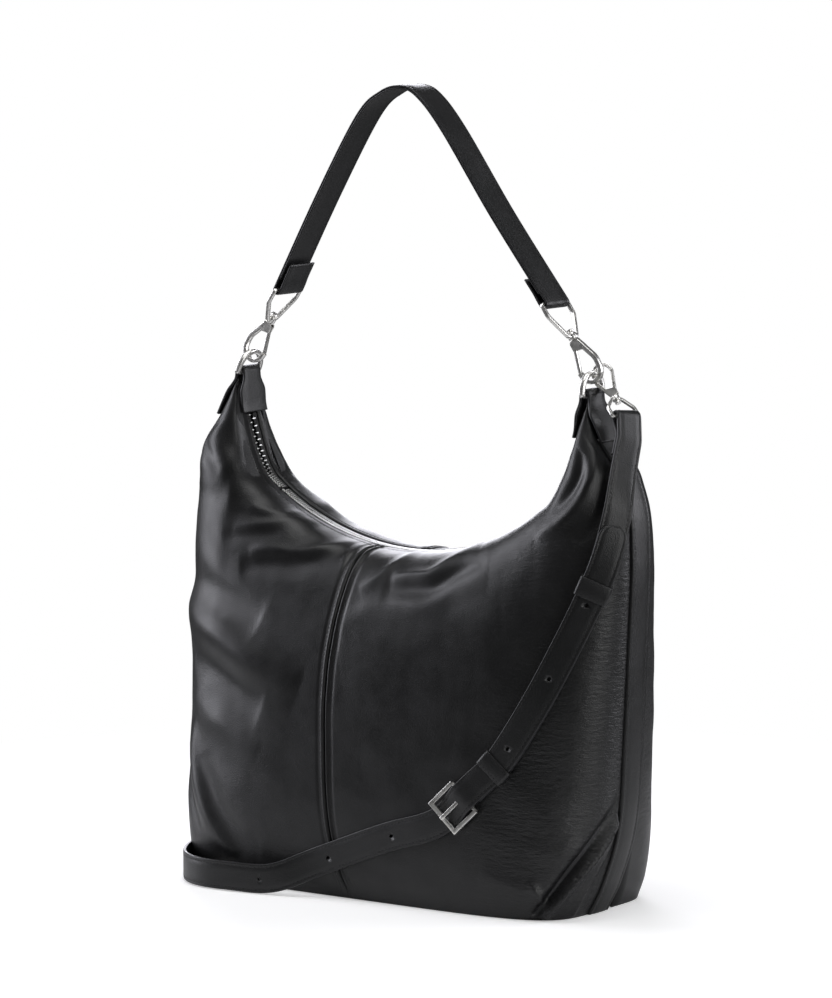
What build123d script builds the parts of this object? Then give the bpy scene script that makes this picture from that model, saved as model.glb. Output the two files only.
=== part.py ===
from build123d import *
import math
import os

# Hobo bag, millimetres. +X to the wearer's right, -Y is the front, +Z up.
# The origin is the centre of the base, on the floor.

# ---- driving dimensions: the soft body ----
LEATHER = 2.2               # outer leather
LINING = 1.0
BASE_THICK = 2.4
# (height, value) tables of the filled bag
HALF_WIDTH = [(0, 176), (20, 184), (60, 193), (130, 197), (200, 200), (270, 201), (330, 194), (360, 175), (392, 162)]
HALF_DEPTH = [(0, 78), (20, 83), (60, 84), (110, 82), (180, 79), (250, 70), (300, 60), (330, 50), (357, 39),
              (375, 27), (392, 18)]
SQUARENESS = [(0, 4.6), (60, 3.3), (130, 2.8), (280, 2.6), (340, 3.2), (392, 4.5)]
SEAM_LEAN = [(0, -7), (60, -24), (150, -34), (262, -32), (392, -30)]     # front seam's x
BODY_LEAN = [(0, 0), (60, 0), (120, 2), (235, 3), (300, 4), (330, 1), (358, 0), (392, 0)]
STRIP_LEAN = [(0, -13), (30, -6), (70, 0), (120, 0)]                     # side strip's y
STRIP_HALF = 13

# ---- driving dimensions: the zip and the mouth ----
ZIP_RADIUS = 222            # the zip hangs in an arc of this radius
ZIP_CENTRE = 484            # height of that arc's centre
ZIP_ARC_REACH = 137         # the arc ends here and the zip climbs to the ears
ZIP_CLIMB = 0.075
ZIP_HALF_GAP = 7.5          # from the middle of the zip to the leather's edge
TEETH_DROP = 1.4            # the teeth lie this far under the leather's face
TEETH_IN = 0.7
TEETH_OUT = 3.3
MOUTH_AXIS = 310            # height of the axis that each lip turns about
MOUTH_REACH = 126           # the lips end at this x
LIP_RADIUS = 75             # the lip's root, from that axis, in the middle of the bag
LIP_GAP = 0.6
SLIDER_X = 133              # the slider's place when the zip is closed

# ---- driving dimensions: straps and metal ----
HANDLE_WIDTH = 31
STRAP_WIDTH = 22.5
STRAP_THICK = 2.6
LAYER = 1.5                 # one layer of the handle
WIRE = 2.1                  # radius of the ring's wire
RING_HALF = 13.5
RING_BAR = (161.5, 392)     # x and height of the ring's bar in the tab
RING_TILT = {-1: 20, 1: 0}   # the left ring leans in with the handle, the right one stands
HOOK_ANGLE = 56             # the handle's hooks lean in by this much
HOOK_LENGTH = 61            # from the ring's wire to the eye's bar
SMALL = 0.82                # the shoulder strap's hooks against the handle's

NODES = {}


# ---- small helpers ----
def curve(rows):
    """A smooth function through (height, value) rows, flat beyond its ends."""
    def slope(i):
        low = max(i - 1, 0)
        high = min(i + 1, len(rows) - 1)
        return (rows[high][1] - rows[low][1]) / (rows[high][0] - rows[low][0])

    def value(z):
        z = min(max(z, rows[0][0]), rows[-1][0])
        i = max(k for k in range(len(rows) - 1) if rows[k][0] <= z)
        span = rows[i + 1][0] - rows[i][0]
        t = (z - rows[i][0]) / span
        start = (2 * t**3 - 3 * t**2 + 1) * rows[i][1] + (t**3 - 2 * t**2 + t) * span * slope(i)
        end = (3 * t**2 - 2 * t**3) * rows[i + 1][1] + (t**3 - t**2) * span * slope(i + 1)
        return start + end
    return value


half_width = curve(HALF_WIDTH)
half_depth = curve(HALF_DEPTH)
squareness = curve(SQUARENESS)
seam_lean = curve(SEAM_LEAN)
body_lean = curve(BODY_LEAN)
strip_lean = curve(STRIP_LEAN)


def triangle(a, b, c):
    return Face(Wire.make_polygon([a, b, c], close=True))


def quad(a, b, c, d):
    return [triangle(a, b, c), triangle(a, c, d)]


def slab(outer, inner):
    """The closed solid between two grids of points with the same rows and columns."""
    faces = []
    rows = len(outer)
    columns = len(outer[0])
    for grid in (outer, inner):
        for r in range(rows - 1):
            for c in range(columns - 1):
                faces += quad(grid[r][c], grid[r][c + 1], grid[r + 1][c + 1], grid[r + 1][c])
    for r in range(rows - 1):
        for c in (0, columns - 1):
            faces += quad(outer[r][c], outer[r + 1][c], inner[r + 1][c], inner[r][c])
    for c in range(columns - 1):
        for r in (0, rows - 1):
            faces += quad(outer[r][c], outer[r][c + 1], inner[r][c + 1], inner[r][c])
    solid = Solid(Shell(faces))
    return solid if solid.volume > 0 else slab(inner, outer)


def ribbon(stations, width, thick):
    """A flat strap through stations of (centre, outward normal); width is a number, or one for each station."""
    widths = width if isinstance(width, list) else [width] * len(stations)
    outer = []
    inner = []
    for i, (centre, normal) in enumerate(stations):
        ahead = stations[min(i + 1, len(stations) - 1)][0] - stations[max(i - 1, 0)][0]
        across = normal.cross(ahead).normalized() * (widths[i] / 2)
        lift = normal.normalized() * (thick / 2)
        outer.append([centre - across + lift, centre + across + lift])
        inner.append([centre - across - lift, centre + across - lift])
    return slab(outer, inner)


def node(name, *shapes):
    NODES[name] = list(shapes)


# ---- the bag's surface ----
def zip_height(x):
    """Height of the zip line at x."""
    inside = min(abs(x), ZIP_ARC_REACH)
    past = abs(x) - inside
    slope = ZIP_ARC_REACH / math.sqrt(ZIP_RADIUS**2 - ZIP_ARC_REACH**2)
    return ZIP_CENTRE - math.sqrt(ZIP_RADIUS**2 - inside**2) + slope * past + ZIP_CLIMB * past**2


def bag_x(side, across, z, inset):
    shift = seam_lean(z) if side < 0 else 0
    return body_lean(z) + (half_width(z) - inset) * across + shift * (1 - abs(across))


def bag_top(side, across):
    """Height where a column of the bag's surface meets the zip line."""
    low = 200.0
    high = 392.0
    for _ in range(30):
        middle = (low + high) / 2
        if middle < zip_height(bag_x(side, across, middle, 0)):
            low = middle
        else:
            high = middle
    return low


def bag_point(side, across, rise, inset=0.0):
    """A point on the bag: across -1 to 1, rise 0 at the base to 1 at the zip."""
    z = rise * (bag_top(side, across) - inset)
    x = bag_x(side, across, z, inset)
    reach = min(1.0, abs(x - body_lean(z)) / (half_width(z) - inset))
    power = squareness(z)
    round_end = (1 - reach**power) ** (1 / power)
    boxy = 3.5 + 4 * reach**4
    round_top = (1 - min(1.0, rise) ** boxy) ** (1 / boxy)
    y = ZIP_HALF_GAP + (half_depth(z) - ZIP_HALF_GAP - inset) * round_end * round_top
    return Vector(x, side * y, z)


def lip_root(side, across, inset, gap):
    """The rise where a column crosses the surface that the lip is cut along."""
    low = 0.3
    high = 1.0
    for _ in range(30):
        middle = (low + high) / 2
        point = bag_point(side, across, middle, inset)
        span = max(0.0, 1 - (point.X / (MOUTH_REACH + 4)) ** 2)
        if math.hypot(point.Y, point.Z - MOUTH_AXIS) > LIP_RADIUS * math.sqrt(span) + gap:
            low = middle
        else:
            high = middle
    return low


def mouth_end(side, sign):
    """The column where the lip ends on one side."""
    low = 0.0
    high = 0.9
    for _ in range(30):
        middle = (low + high) / 2
        if abs(bag_point(side, sign * middle, 1.0).X) < MOUTH_REACH:
            low = middle
        else:
            high = middle
    return sign * low


RISES = [math.sin(math.pi / 2 * k / 10) for k in range(11)]
SIDE_COLUMNS = [0.72, 0.8, 0.87, 0.925, 0.965, 0.988, 0.997, 1.0]


def body_columns(side, sign):
    """Columns from the centre seam to one side: (across, does the lip cut it)."""
    end = abs(mouth_end(side, sign))
    steps = 10
    columns = [(sign * end * k / steps, True) for k in range(steps + 1)]
    columns.append((sign * (end + 0.004), True))
    columns.append((sign * (end + 0.012), False))
    columns += [(sign * value, False) for value in SIDE_COLUMNS if value > end + 0.05]
    return columns


def body_grid(side, sign, inset, floor):
    grid = []
    for across, cut in body_columns(side, sign):
        limit = lip_root(side, across, inset, LIP_GAP) if cut else 1.0
        column = [bag_point(side, across, rise * limit, inset) for rise in RISES]
        column[0] = Vector(column[0].X, column[0].Y, floor)
        grid.append(column)
    return grid


def body_panel(side, sign):
    return slab(body_grid(side, sign, 0, 0), body_grid(side, sign, LEATHER, 0))


def lining_panel(side, sign):
    face = LEATHER + 0.7
    floor = BASE_THICK + 3.4
    return slab(body_grid(side, sign, face, floor), body_grid(side, sign, face + LINING, floor))


def lip_columns(side):
    first = mouth_end(side, -1)
    last = mouth_end(side, 1)
    return [first * (1 - k / 10) for k in range(10)] + [last * k / 10 for k in range(11)]


def lip_grid(side, inset):
    grid = []
    for across in lip_columns(side):
        root = lip_root(side, across, inset, -LIP_GAP)
        grid.append([bag_point(side, across, root + (1 - root) * k / 4, inset) for k in range(5)])
    return grid


def zip_strip(side, x_values, near, far, drop, thick):
    """A strip along the zip line, from near to far of its middle."""
    outer = []
    inner = []
    for x in x_values:
        run = 0.05
        slope = (zip_height(x + run) - zip_height(x - run)) / (2 * run)
        normal = Vector(-slope, 0, 1).normalized()
        middle = Vector(x, 0, zip_height(x)) - normal * drop
        for grid, lift in ((outer, thick / 2), (inner, -thick / 2)):
            level = middle + normal * lift
            grid.append([level + Vector(0, side * near, 0), level + Vector(0, side * far, 0)])
    return slab(outer, inner)


def spread(first, last, count):
    return [first + (last - first) * k / (count - 1) for k in range(count)]


# ---- leather body ----
def make_body():
    node("front_left_panel", body_panel(-1, -1))
    node("front_right_panel", body_panel(-1, 1))
    node("back_left_panel", body_panel(1, -1))
    node("back_right_panel", body_panel(1, 1))
    node("lining_front", lining_panel(-1, -1), lining_panel(-1, 1))
    node("lining_back", lining_panel(1, -1), lining_panel(1, 1))
    outline = []
    for side in (-1, 1):
        edge = [bag_point(side, math.sin(turn), 0, LEATHER + 0.3) for turn in spread(-1.57, 1.57, 30)]
        outline += edge if side < 0 else edge[::-1]
    flat = Face(Wire.make_polygon([Vector(p.X, p.Y, 0) for p in outline], close=True))
    node("base_panel", extrude(flat, BASE_THICK, dir=(0, 0, 1)))
    inside = Face(Wire.make_polygon([Vector(p.X * 0.97, p.Y * 0.95, BASE_THICK + 2.2) for p in outline], close=True))
    node("lining_base", extrude(inside, LINING, dir=(0, 0, 1)))
    board = Pos(0, 0, BASE_THICK + 0.9) * Box(300, 120, 1.6)
    node("base_board", fillet(board.edges().filter_by(Axis.Z), 12))


def side_x(side, y, z, offset):
    """x of the bag's side at a height, y from the middle."""
    power = squareness(z)
    share = max(0.0, abs(y) - ZIP_HALF_GAP) / (half_depth(z) - ZIP_HALF_GAP)
    return body_lean(z) + side * (half_width(z) * (1 - min(share, 0.97) ** power) ** (1 / power) + offset)


def make_side_strips():
    for name, side in (("side_strip_left", -1), ("side_strip_right", 1)):
        outer = []
        inner = []
        for z in [0, 8, 20, 45, 80, 120, 160, 200, 240, 270, 300, 325, 345, 358]:
            half = min(STRIP_HALF, half_depth(z) * 0.6)
            across = spread(strip_lean(z) - half, strip_lean(z) + half, 5)
            outer.append([Vector(side_x(side, y, z, 2.7), y, z) for y in across])
            inner.append([Vector(side_x(side, y, z, 0.9), y, z) for y in across])
        node(name, slab(outer, inner))


# ---- the mouth ----
def make_mouth():
    lip_x = spread(-MOUTH_REACH + 0.6, MOUTH_REACH - 0.6, 29)
    for name, side in (("front", -1), ("back", 1)):
        node(name + "_mouth_edge", slab(lip_grid(side, 0), lip_grid(side, LEATHER)))
        tape = zip_strip(side, lip_x, TEETH_OUT, ZIP_HALF_GAP - 0.2, TEETH_DROP, 0.6)
        node(name + "_zip_tape", tape)
        node(name + "_zip_teeth", zip_strip(side, lip_x, TEETH_IN, TEETH_OUT, TEETH_DROP, 2.0))
    for name, sign in (("zip_end_left", -1), ("zip_end_right", 1)):
        ends = spread(sign * (MOUTH_REACH + 1.2), sign * 158, 12)
        pieces = []
        for side in (-1, 1):
            pieces.append(zip_strip(side, ends, TEETH_OUT, ZIP_HALF_GAP - 0.2, TEETH_DROP, 0.6))
            pieces.append(zip_strip(side, ends, TEETH_IN, TEETH_OUT, TEETH_DROP, 2.0))
        node(name, *pieces)


def make_slider():
    height = ZIP_CENTRE - math.sqrt(ZIP_RADIUS**2 - SLIDER_X**2)
    lean = math.degrees(math.asin(SLIDER_X / ZIP_RADIUS))
    frame = Plane((SLIDER_X, 0, height), x_dir=(math.cos(math.radians(lean)), 0, math.sin(math.radians(lean))),
                  z_dir=(-math.sin(math.radians(lean)), 0, math.cos(math.radians(lean))))
    drop = -TEETH_DROP
    top = Pos(0, 0, drop + 2.2) * Box(11, 9.6, 1.2)
    bottom = Pos(0, 0, drop - 2.2) * Box(11, 9.6, 1.2)
    web = Pos(3.5, 0, drop) * Box(2.6, 0.8, 3.6)
    body = top + bottom + web
    for side in (-1, 1):
        for level in (1.2, -1.2):
            body += Pos(0, side * 4.2, drop + level) * Box(11, 1.2, 0.9)
    lug_z = drop + 4.8
    for side in (-1, 1):
        body += Pos(-1, side * 2.6, drop + 4.1) * Box(4.0, 1.4, 3.2)
    body += Pos(-1, 0, lug_z) * Rot(90, 0, 0) * Cylinder(0.8, 4.6)
    node("zip_slider", body.moved(frame.location))
    outline = Pos(-14, 0, 0) * RectangleRounded(22, 7.6, 2.4) + Pos(-3, 0, 0) * Rectangle(4, 3.2)
    slot = Pos(-17, 0, 0) * RectangleRounded(11, 3.4, 1.5)
    puller = extrude(outline - slot, 0.7, both=True)
    pivot = Pos(-1, 0, 0) * Rot(90, 0, 0)
    puller = puller + pivot * Cylinder(1.6, 3.2) - pivot * Cylinder(0.86, 20)
    node("zip_puller", (Pos(0, 0, lug_z) * puller).moved(frame.location))


# ---- rings and tabs ----
def ring_plane(side):
    lean = math.radians(RING_TILT[side])
    up = Vector(-side * math.sin(lean), 0, math.cos(lean))
    return Plane((side * RING_BAR[0], 0, RING_BAR[1]), x_dir=(0, 1, 0), z_dir=Vector(0, 1, 0).cross(up))


def make_rings():
    straight = 3.0
    path = Polyline((-RING_HALF, straight), (-RING_HALF, 0), (RING_HALF, 0), (RING_HALF, straight))
    path += ThreePointArc((RING_HALF, straight), (0, straight + RING_HALF), (-RING_HALF, straight))
    face = make_face(path)
    face = fillet(face.vertices().sort_by(Axis.Y)[:2], 2.9)
    wire = face.faces()[0].outer_wire()
    section = Plane(wire @ 0, z_dir=wire % 0) * Circle(WIRE)
    ring = sweep(section, path=wire)
    for name, side in (("left", -1), ("right", 1)):
        node("ring_" + name, ring.moved(ring_plane(side).location))


def make_tabs():
    """Each tab wraps the ear and loops over the ring's bar."""
    for name, side in (("tab_left", -1), ("tab_right", 1)):
        x, z = RING_BAR
        loop = WIRE + 0.5 + 1.0
        route = [(x - 5.6, 363), (x - 5.0, 372), (x - loop - 0.4, 384)]
        route += [(x - loop * math.cos(a), z + loop * math.sin(a)) for a in
                  [math.pi * k / 10 for k in range(11)]]
        route += [(x + loop + 1.4, 384), (x + 11.0, 372), (x + 15.8, 363)]
        stations = []
        for i, (px, pz) in enumerate(route):
            before = route[max(i - 1, 0)]
            after = route[min(i + 1, len(route) - 1)]
            tangent = Vector(side * (after[0] - before[0]), 0, after[1] - before[1]).normalized()
            normal = Vector(-side * tangent.Z, 0, side * tangent.X)
            stations.append((Vector(side * px, 0, pz), normal))
        neck = RING_HALF * 2 - WIRE * 2 - 2
        wide = 30
        widths = [wide, wide, neck + 2] + [neck] * 11 + [neck + 2, wide, wide]
        node(name, ribbon(stations, widths, 2.0))


# ---- snap hooks, in their own plane: x along the hook, y across, z through ----
def plate(points, thick, radius=0.0):
    face = make_face(Polyline(*points, close=True))
    if radius:
        face = fillet(face.vertices(), radius)
    return extrude(face, thick / 2, both=True)


def hook_parts():
    outer = plate([(28, 4.2), (8, 11), (-3, 10), (-8.6, 4), (-8.6, -4), (-3, -10), (5, -11), (28, -4.2)], 4.4, 1.2)
    hollow = plate([(22.5, 0.6), (7.5, 7.4), (-1.5, 6.8), (-5, 3), (-5, -3), (-1.5, -6.8), (3.2, -7.3), (22.5, -1.2)],
                   9, 0.9)
    gate_way = plate([(4.2, -5), (4.2, -13), (23, -8), (23, 0)], 9)
    fork = plate([(20, 1.8), (20, -8), (26.6, -8), (26.6, 1.8)], 3.0)
    pin_at = Pos(24.6, -2.6, 0)
    frame = outer - hollow - gate_way - fork - pin_at * Cylinder(0.9, 9)
    pin = extrude(Pos(24.6, -2.6) * Circle(0.9), 2.2, both=True)
    post = Pos(31.5, 0, 0) * Rot(0, 90, 0) * Cylinder(1.9, 8)
    head = Pos(36.3, 0, 0) * Rot(0, 90, 0) * Cylinder(3.0, 1.6)
    gate = plate([(5.9, -10.7), (4.7, -7.9), (22.2, -1.4), (26.2, -1.0), (26.2, -4.6), (22.2, -5.6)], 2.5, 0.4)
    gate -= pin_at * Cylinder(0.95, 9)
    return {"frame": frame + post + head, "gate": gate, "pin": pin}


def eye_part(bar_at, half_inner):
    """The loop that the strap folds round, in the plane across the hook's."""
    wide = half_inner + 3.0
    outer = plate([(bar_at + 1.5, wide), (bar_at - 11, wide), (29.6, 6.4), (29.6, -6.4), (bar_at - 11, -wide),
                   (bar_at + 1.5, -wide)], 3.0, 2.0)
    inner = plate([(bar_at - 1.5, half_inner), (bar_at - 10, half_inner), (34.6, 5.6), (34.6, -5.6),
                   (bar_at - 10, -half_inner), (bar_at - 1.5, -half_inner)], 9, 1.2)
    loop = Rot(90, 0, 0) * (outer - inner)
    collar = Pos(31.6, 0, 0) * Rot(0, 90, 0) * Cylinder(3.7, 5.6)
    bore = Pos(31.5, 0, 0) * Rot(0, 90, 0) * Cylinder(1.97, 12)
    return loop + collar - bore


def place_hook(name, plane, size):
    parts = hook_parts()
    for key, label in (("frame", "hook_"), ("gate", "gate_"), ("pin", "gate_pin_")):
        node(label + name, scale(parts[key], by=size).moved(plane.location))


def place_eye(name, plane, size, eye):
    node("eye_" + name, scale(eye, by=size).moved(plane.location))


def square_to(direction, along):
    """The part of a direction that is square to another one."""
    along = Vector(*along).normalized()
    direction = Vector(*direction)
    return (direction - along * direction.dot(along)).normalized()


def handle_hook_plane(side):
    lean = math.radians(RING_TILT[side])
    top = 3.0 + RING_HALF
    origin = (side * (RING_BAR[0] - top * math.sin(lean)), 0, RING_BAR[1] + top * math.cos(lean))
    along = (-side * math.cos(math.radians(HOOK_ANGLE)), 0, math.sin(math.radians(HOOK_ANGLE)))
    return Plane(origin, x_dir=along, z_dir=(0, side, 0))


# the strap's near hook hangs on the right ring behind the handle's hook
NEAR_HOOK_AT = (164.0, 8.9, 408.1)
NEAR_HOOK_ALONG = (0.66, -0.22, -0.72)
# the far hook lies on the floor behind the bag
FAR_HOOK_AT = (116.0, 111.0, 6.4)
FAR_HOOK_ALONG = (-0.98, 0.0, 0.2)
STRAP_EYE_BAR = 52.5
EYE_CLEAR = 2.5             # from the eye's bar to the strap's face
FOLD_UNDER = 1.3            # the folded end's middle lies this far under the strap's inner face
FOLD_LENGTH = 24
STRAP_ENDS = [("near", NEAR_HOOK_AT, NEAR_HOOK_ALONG, (0.93, -0.2, 0.25)),
              ("far", FAR_HOOK_AT, FAR_HOOK_ALONG, (0, 1, 0))]


def make_hooks():
    handle_eye = eye_part(HOOK_LENGTH, HANDLE_WIDTH / 2 + 0.4)
    strap_eye = eye_part(STRAP_EYE_BAR, STRAP_WIDTH / 2 / SMALL + 1.4)
    for name, side in (("left", -1), ("right", 1)):
        place_hook(name, handle_hook_plane(side), 1.0)
        place_eye(name, handle_hook_plane(side), 1.0, handle_eye)
    near = Vector(*NEAR_HOOK_ALONG).normalized()
    wire = Vector(0, 0.83, -0.56)
    place_hook("near", Plane(NEAR_HOOK_AT, x_dir=near, z_dir=wire - near * wire.dot(near)), SMALL)
    far = Vector(*FAR_HOOK_ALONG).normalized()
    place_hook("far", Plane(FAR_HOOK_AT, x_dir=far, z_dir=Vector(0, 1, 0).cross(far)), SMALL)
    for name, at, along, strap_normal in STRAP_ENDS:
        out = square_to(strap_normal, along)
        place_eye(name, Plane(at, x_dir=Vector(*along), z_dir=out.cross(Vector(*along))), SMALL, strap_eye)


# ---- handle ----
HANDLE_LINE = [(-81, 532), (-43, 594), (-22, 612), (-5, 616.5), (10, 611), (33, 586), (78, 523)]


def smooth(points, steps):
    """Points of a smooth curve through the given ones."""
    line = []
    for i in range(len(points) - 1):
        p0 = points[max(i - 1, 0)]
        p1 = points[i]
        p2 = points[i + 1]
        p3 = points[min(i + 2, len(points) - 1)]
        for k in range(steps):
            t = k / steps
            a = p1 * 2
            b = (p2 - p0) * t
            c = (p0 * 2 - p1 * 5 + p2 * 4 - p3) * t**2
            d = (p1 * 3 - p0 - p2 * 3 + p3) * t**3
            line.append((a + b + c + d) * 0.5)
    return line + [points[-1]]


def handle_route():
    """The middle of the handle's strap, from the left eye's bar to the right one."""
    ends = []
    for side in (-1, 1):
        plane = handle_hook_plane(side)
        ends.append(plane.origin + plane.x_dir * HOOK_LENGTH)
    points = [ends[0]] + [Vector(x, 0, z) for x, z in HANDLE_LINE] + [ends[1]]
    return smooth(points, 6)


def offset_stations(line, lift):
    stations = []
    for i, point in enumerate(line):
        tangent = (line[min(i + 1, len(line) - 1)] - line[max(i - 1, 0)]).normalized()
        normal = Vector(-tangent.Z, 0, tangent.X)
        stations.append((point + normal * lift, normal))
    return stations


def half_turn(bar, tangent, normal, radius):
    """Stations round a bar, from the strap's outer side to its inner side."""
    stations = []
    for k in range(9):
        angle = math.pi * k / 8
        out = normal * math.cos(angle) + tangent * math.sin(angle)
        stations.append((bar + out * radius, out))
    return stations


def turn_back(bar, tangent, normal, radius):
    """Stations round a bar and straight back along the strap's inner side."""
    back = bar - normal * radius
    tail = [(back - tangent * run + normal * rise, -normal) for run, rise in ((5, 0.0), (12, 0.6), (24, 0.6))]
    return half_turn(bar, tangent, normal, radius) + tail


def make_handle():
    line = handle_route()
    radius = 3.0
    lift = radius
    outer = offset_stations(line[1:-1], lift)
    first = (line[0] - line[1]).normalized()
    last = (line[-1] - line[-2]).normalized()
    start = turn_back(line[0], first, Vector(first.Z, 0, -first.X), radius)
    end = turn_back(line[-1], last, Vector(-last.Z, 0, last.X), radius)
    node("handle_outer", ribbon(start[::-1] + outer + end, HANDLE_WIDTH, LAYER))
    inner = offset_stations(line, lift - LAYER - 0.1)[1:-1]
    node("handle_inner", ribbon(inner, HANDLE_WIDTH, LAYER))


# ---- shoulder strap ----
# (x, y, z, normal) down the front of the bag and round its foot: its inner face
NEAR_RUN = [((197.5, -2.8, 368), (0.9, -0.2, 0.4)), ((199.5, -16, 338), (0.88, -0.4, 0.2)),
            ((202.5, -28.5, 307), (0.75, -0.63, 0.18)), ((198.5, -38.5, 272), (0.62, -0.78, 0.08)),
            ((188.5, -44.5, 243), (0.53, -0.84, 0.05)), ((176, -53.5, 210), (0.44, -0.89, 0.06)),
            ((156.5, -64.5, 166), (0.32, -0.94, 0.06)), ((131, -74, 121), (0.2, -0.98, 0.05)),
            ((112, -79, 101), (0.13, -0.99, 0.05)), ((97, -82, 85), (0.08, -0.99, 0.04)),
            ((86, -84, 73), (0.05, -1, 0.03)), ((68, -85.5, 64), (0.03, -1, 0.02)),
            ((33, -86, 53), (0, -1, 0)), ((-29, -88, 28), (0, -1, 0))]
FLOOR_RUN = [((-66, -98, 12.5), (0.05, -1, 0)), ((-103, -105, 11.6), (-0.02, -1, 0)),
             ((-133, -104, 11.6), (-0.3, -0.95, 0)), ((-157, -88, 11.6), (-0.75, -0.66, 0)),
             ((-176, -55, 11.6), (-0.92, -0.38, 0)), ((-190, -10, 11.6), (-1, -0.12, 0)),
             ((-190, 40, 11.6), (-0.98, 0.2, 0)), ((-172, 82, 11.6), (-0.75, 0.66, 0)),
             ((-135, 106, 11.6), (-0.35, 0.94, 0)), ((-85, 114, 11.6), (0, 1, 0)),
             ((-34, 112, 11.6), (0.03, 1, 0)), ((8, 109.6, 11.6), (0.03, 1, 0)),
             ((36, 108.4, 12.5), (-0.02, 1, 0)), ((62, 107.8, 14.4), (0, 1, 0))]
BUCKLE_RUN = 315            # along the strap from its first point to the buckle's heel bar
TIP_RUN = 76
LOOSE_KEEPER_RUN = 126


def strap_stations(step=6.0):
    """Evenly spaced (run, point, normal) along the strap's inner face."""
    stops = NEAR_RUN + FLOOR_RUN
    places = smooth([Vector(*p) for p, n in stops], 12)
    normals = smooth([Vector(*n) for p, n in stops], 12)
    stations = [(0.0, places[0], normals[0].normalized())]
    run = 0.0
    for i in range(1, len(places)):
        run += (places[i] - places[i - 1]).length
        if run - stations[-1][0] >= step or i == len(places) - 1:
            stations.append((run, places[i], normals[i].normalized()))
    return stations


def strap_at(run, lift):
    stations = strap_stations(1.0)
    near = min(range(len(stations)), key=lambda i: abs(stations[i][0] - run))
    before = stations[max(near - 1, 0)][1]
    after = stations[min(near + 1, len(stations) - 1)][1]
    place, normal = stations[near][1:]
    tangent = (after - before).normalized()
    normal = (normal - tangent * normal.dot(tangent)).normalized()
    return place + normal * lift, tangent, normal


def lift_table(run):
    """Height of the long strap's middle over the inner face: through the buckle, then on the short strap."""
    return curve([(0, 4.7), (BUCKLE_RUN - 40, 4.7), (BUCKLE_RUN - 12, 5.2), (BUCKLE_RUN, 6.6), (BUCKLE_RUN + 12, 3.2),
                  (BUCKLE_RUN + 22, 1.7), (BUCKLE_RUN + 60, 1.5), (3000, 1.5)])(run)


def strap_loop(end, stations):
    """Stations round the bar of one of the strap's hooks, and back under the strap's end."""
    at, along, strap_normal = STRAP_ENDS[end][1:]
    forward = Vector(*along).normalized()
    bar = Vector(*at) + forward * (STRAP_EYE_BAR * SMALL)
    turn = half_turn(bar, -forward, square_to(strap_normal, along), STRAP_THICK / 2 + EYE_CLEAR)
    return turn + [(p - n * FOLD_UNDER, -n) for run, p, n in stations]


def make_strap():
    stations = strap_stations()
    length = stations[-1][0]
    short = [(p + n * 1.5, n) for run, p, n in stations if run < BUCKLE_RUN - 6]
    fold = [station for station in stations if 5 < station[0] < FOLD_LENGTH]
    node("strap_short", ribbon(strap_loop(0, fold)[::-1] + short[1:], STRAP_WIDTH, STRAP_THICK))
    long_run = [(p + n * lift_table(run), n) for run, p, n in stations if run > TIP_RUN]
    fold = [station for station in stations if length - FOLD_LENGTH < station[0] < length - 5]
    strap = ribbon(long_run[:-1] + strap_loop(1, fold[::-1]), STRAP_WIDTH, STRAP_THICK)
    place, tangent, normal = strap_at(BUCKLE_RUN + 10, 4.0)
    plane = Plane(place, x_dir=tangent, z_dir=normal)
    node("strap_long", strap - Box(26, 4.6, 12).moved(plane.location))


def keeper(run, lift, high, length):
    """A leather loop round the strap."""
    place, tangent, normal = strap_at(run, lift)
    plane = Plane(place, x_dir=tangent, z_dir=normal)
    wide = STRAP_WIDTH + 1.2
    shell = Box(length, wide + 2.4, high + 2.0) - Box(length * 2, wide, high)
    return shell.moved(plane.location)


def make_buckle():
    heel, tangent, normal = strap_at(BUCKLE_RUN, 3.0)
    front = strap_at(BUCKLE_RUN + 23, 5.8)[0]
    along = (front - heel).normalized()
    up = (normal - along * normal.dot(along)).normalized()
    plane = Plane(heel, x_dir=along, z_dir=up)
    frame = Pos(11.5, 0, 0) * Box(26.4, 32.0, 3.0)
    frame -= Pos(11.5, 0, 0) * Box(19.6, 25.2, 9)
    bar = Rot(90, 0, 0) * Cylinder(1.4, 26)
    heel_cut = Box(3.6, 25.2, 9)
    node("buckle_frame", (frame - heel_cut + bar).moved(plane.location))
    tongue = Pos(11.7, 0, 2.35) * Box(25, 2.8, 1.5)
    ring = Rot(90, 0, 0) * Cylinder(2.6, 2.8)
    tongue = tongue + ring - Rot(90, 0, 0) * Cylinder(1.46, 9)
    node("buckle_tongue", tongue.moved(plane.location))
    node("fixed_keeper", keeper(BUCKLE_RUN - 34, 3.1, 6.2, 13))
    node("loose_keeper", keeper(LOOSE_KEEPER_RUN, 3.1, 7.2, 15))


# ---- inner pocket ----
POCKET_HALF = 75
POCKET_HEIGHTS = (110, 150, 190)
POCKET_Y = 62
POCKET_BOW = 2.5            # the pocket's sides come this far forward of its middle


def make_pocket():
    faces = []
    for level in (0.0, LINING):
        faces.append([[Vector(x, POCKET_Y + level - POCKET_BOW * (x / POCKET_HALF)**2, z) for z in POCKET_HEIGHTS]
                      for x in spread(-POCKET_HALF, POCKET_HALF, 9)])
    node("inner_pocket", slab(*faces))


make_body()
make_side_strips()
make_mouth()
make_slider()
make_rings()
make_tabs()
make_hooks()
make_handle()
make_strap()
make_buckle()
make_pocket()

os.makedirs("parts", exist_ok=True)
for label, shapes in NODES.items():
    shape = shapes[0] if len(shapes) == 1 else Compound(children=shapes)
    export_step(shape, "parts/" + label + ".step")
print(len(NODES), "nodes; strap length", round(strap_stations()[-1][0]))
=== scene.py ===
import math

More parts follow.
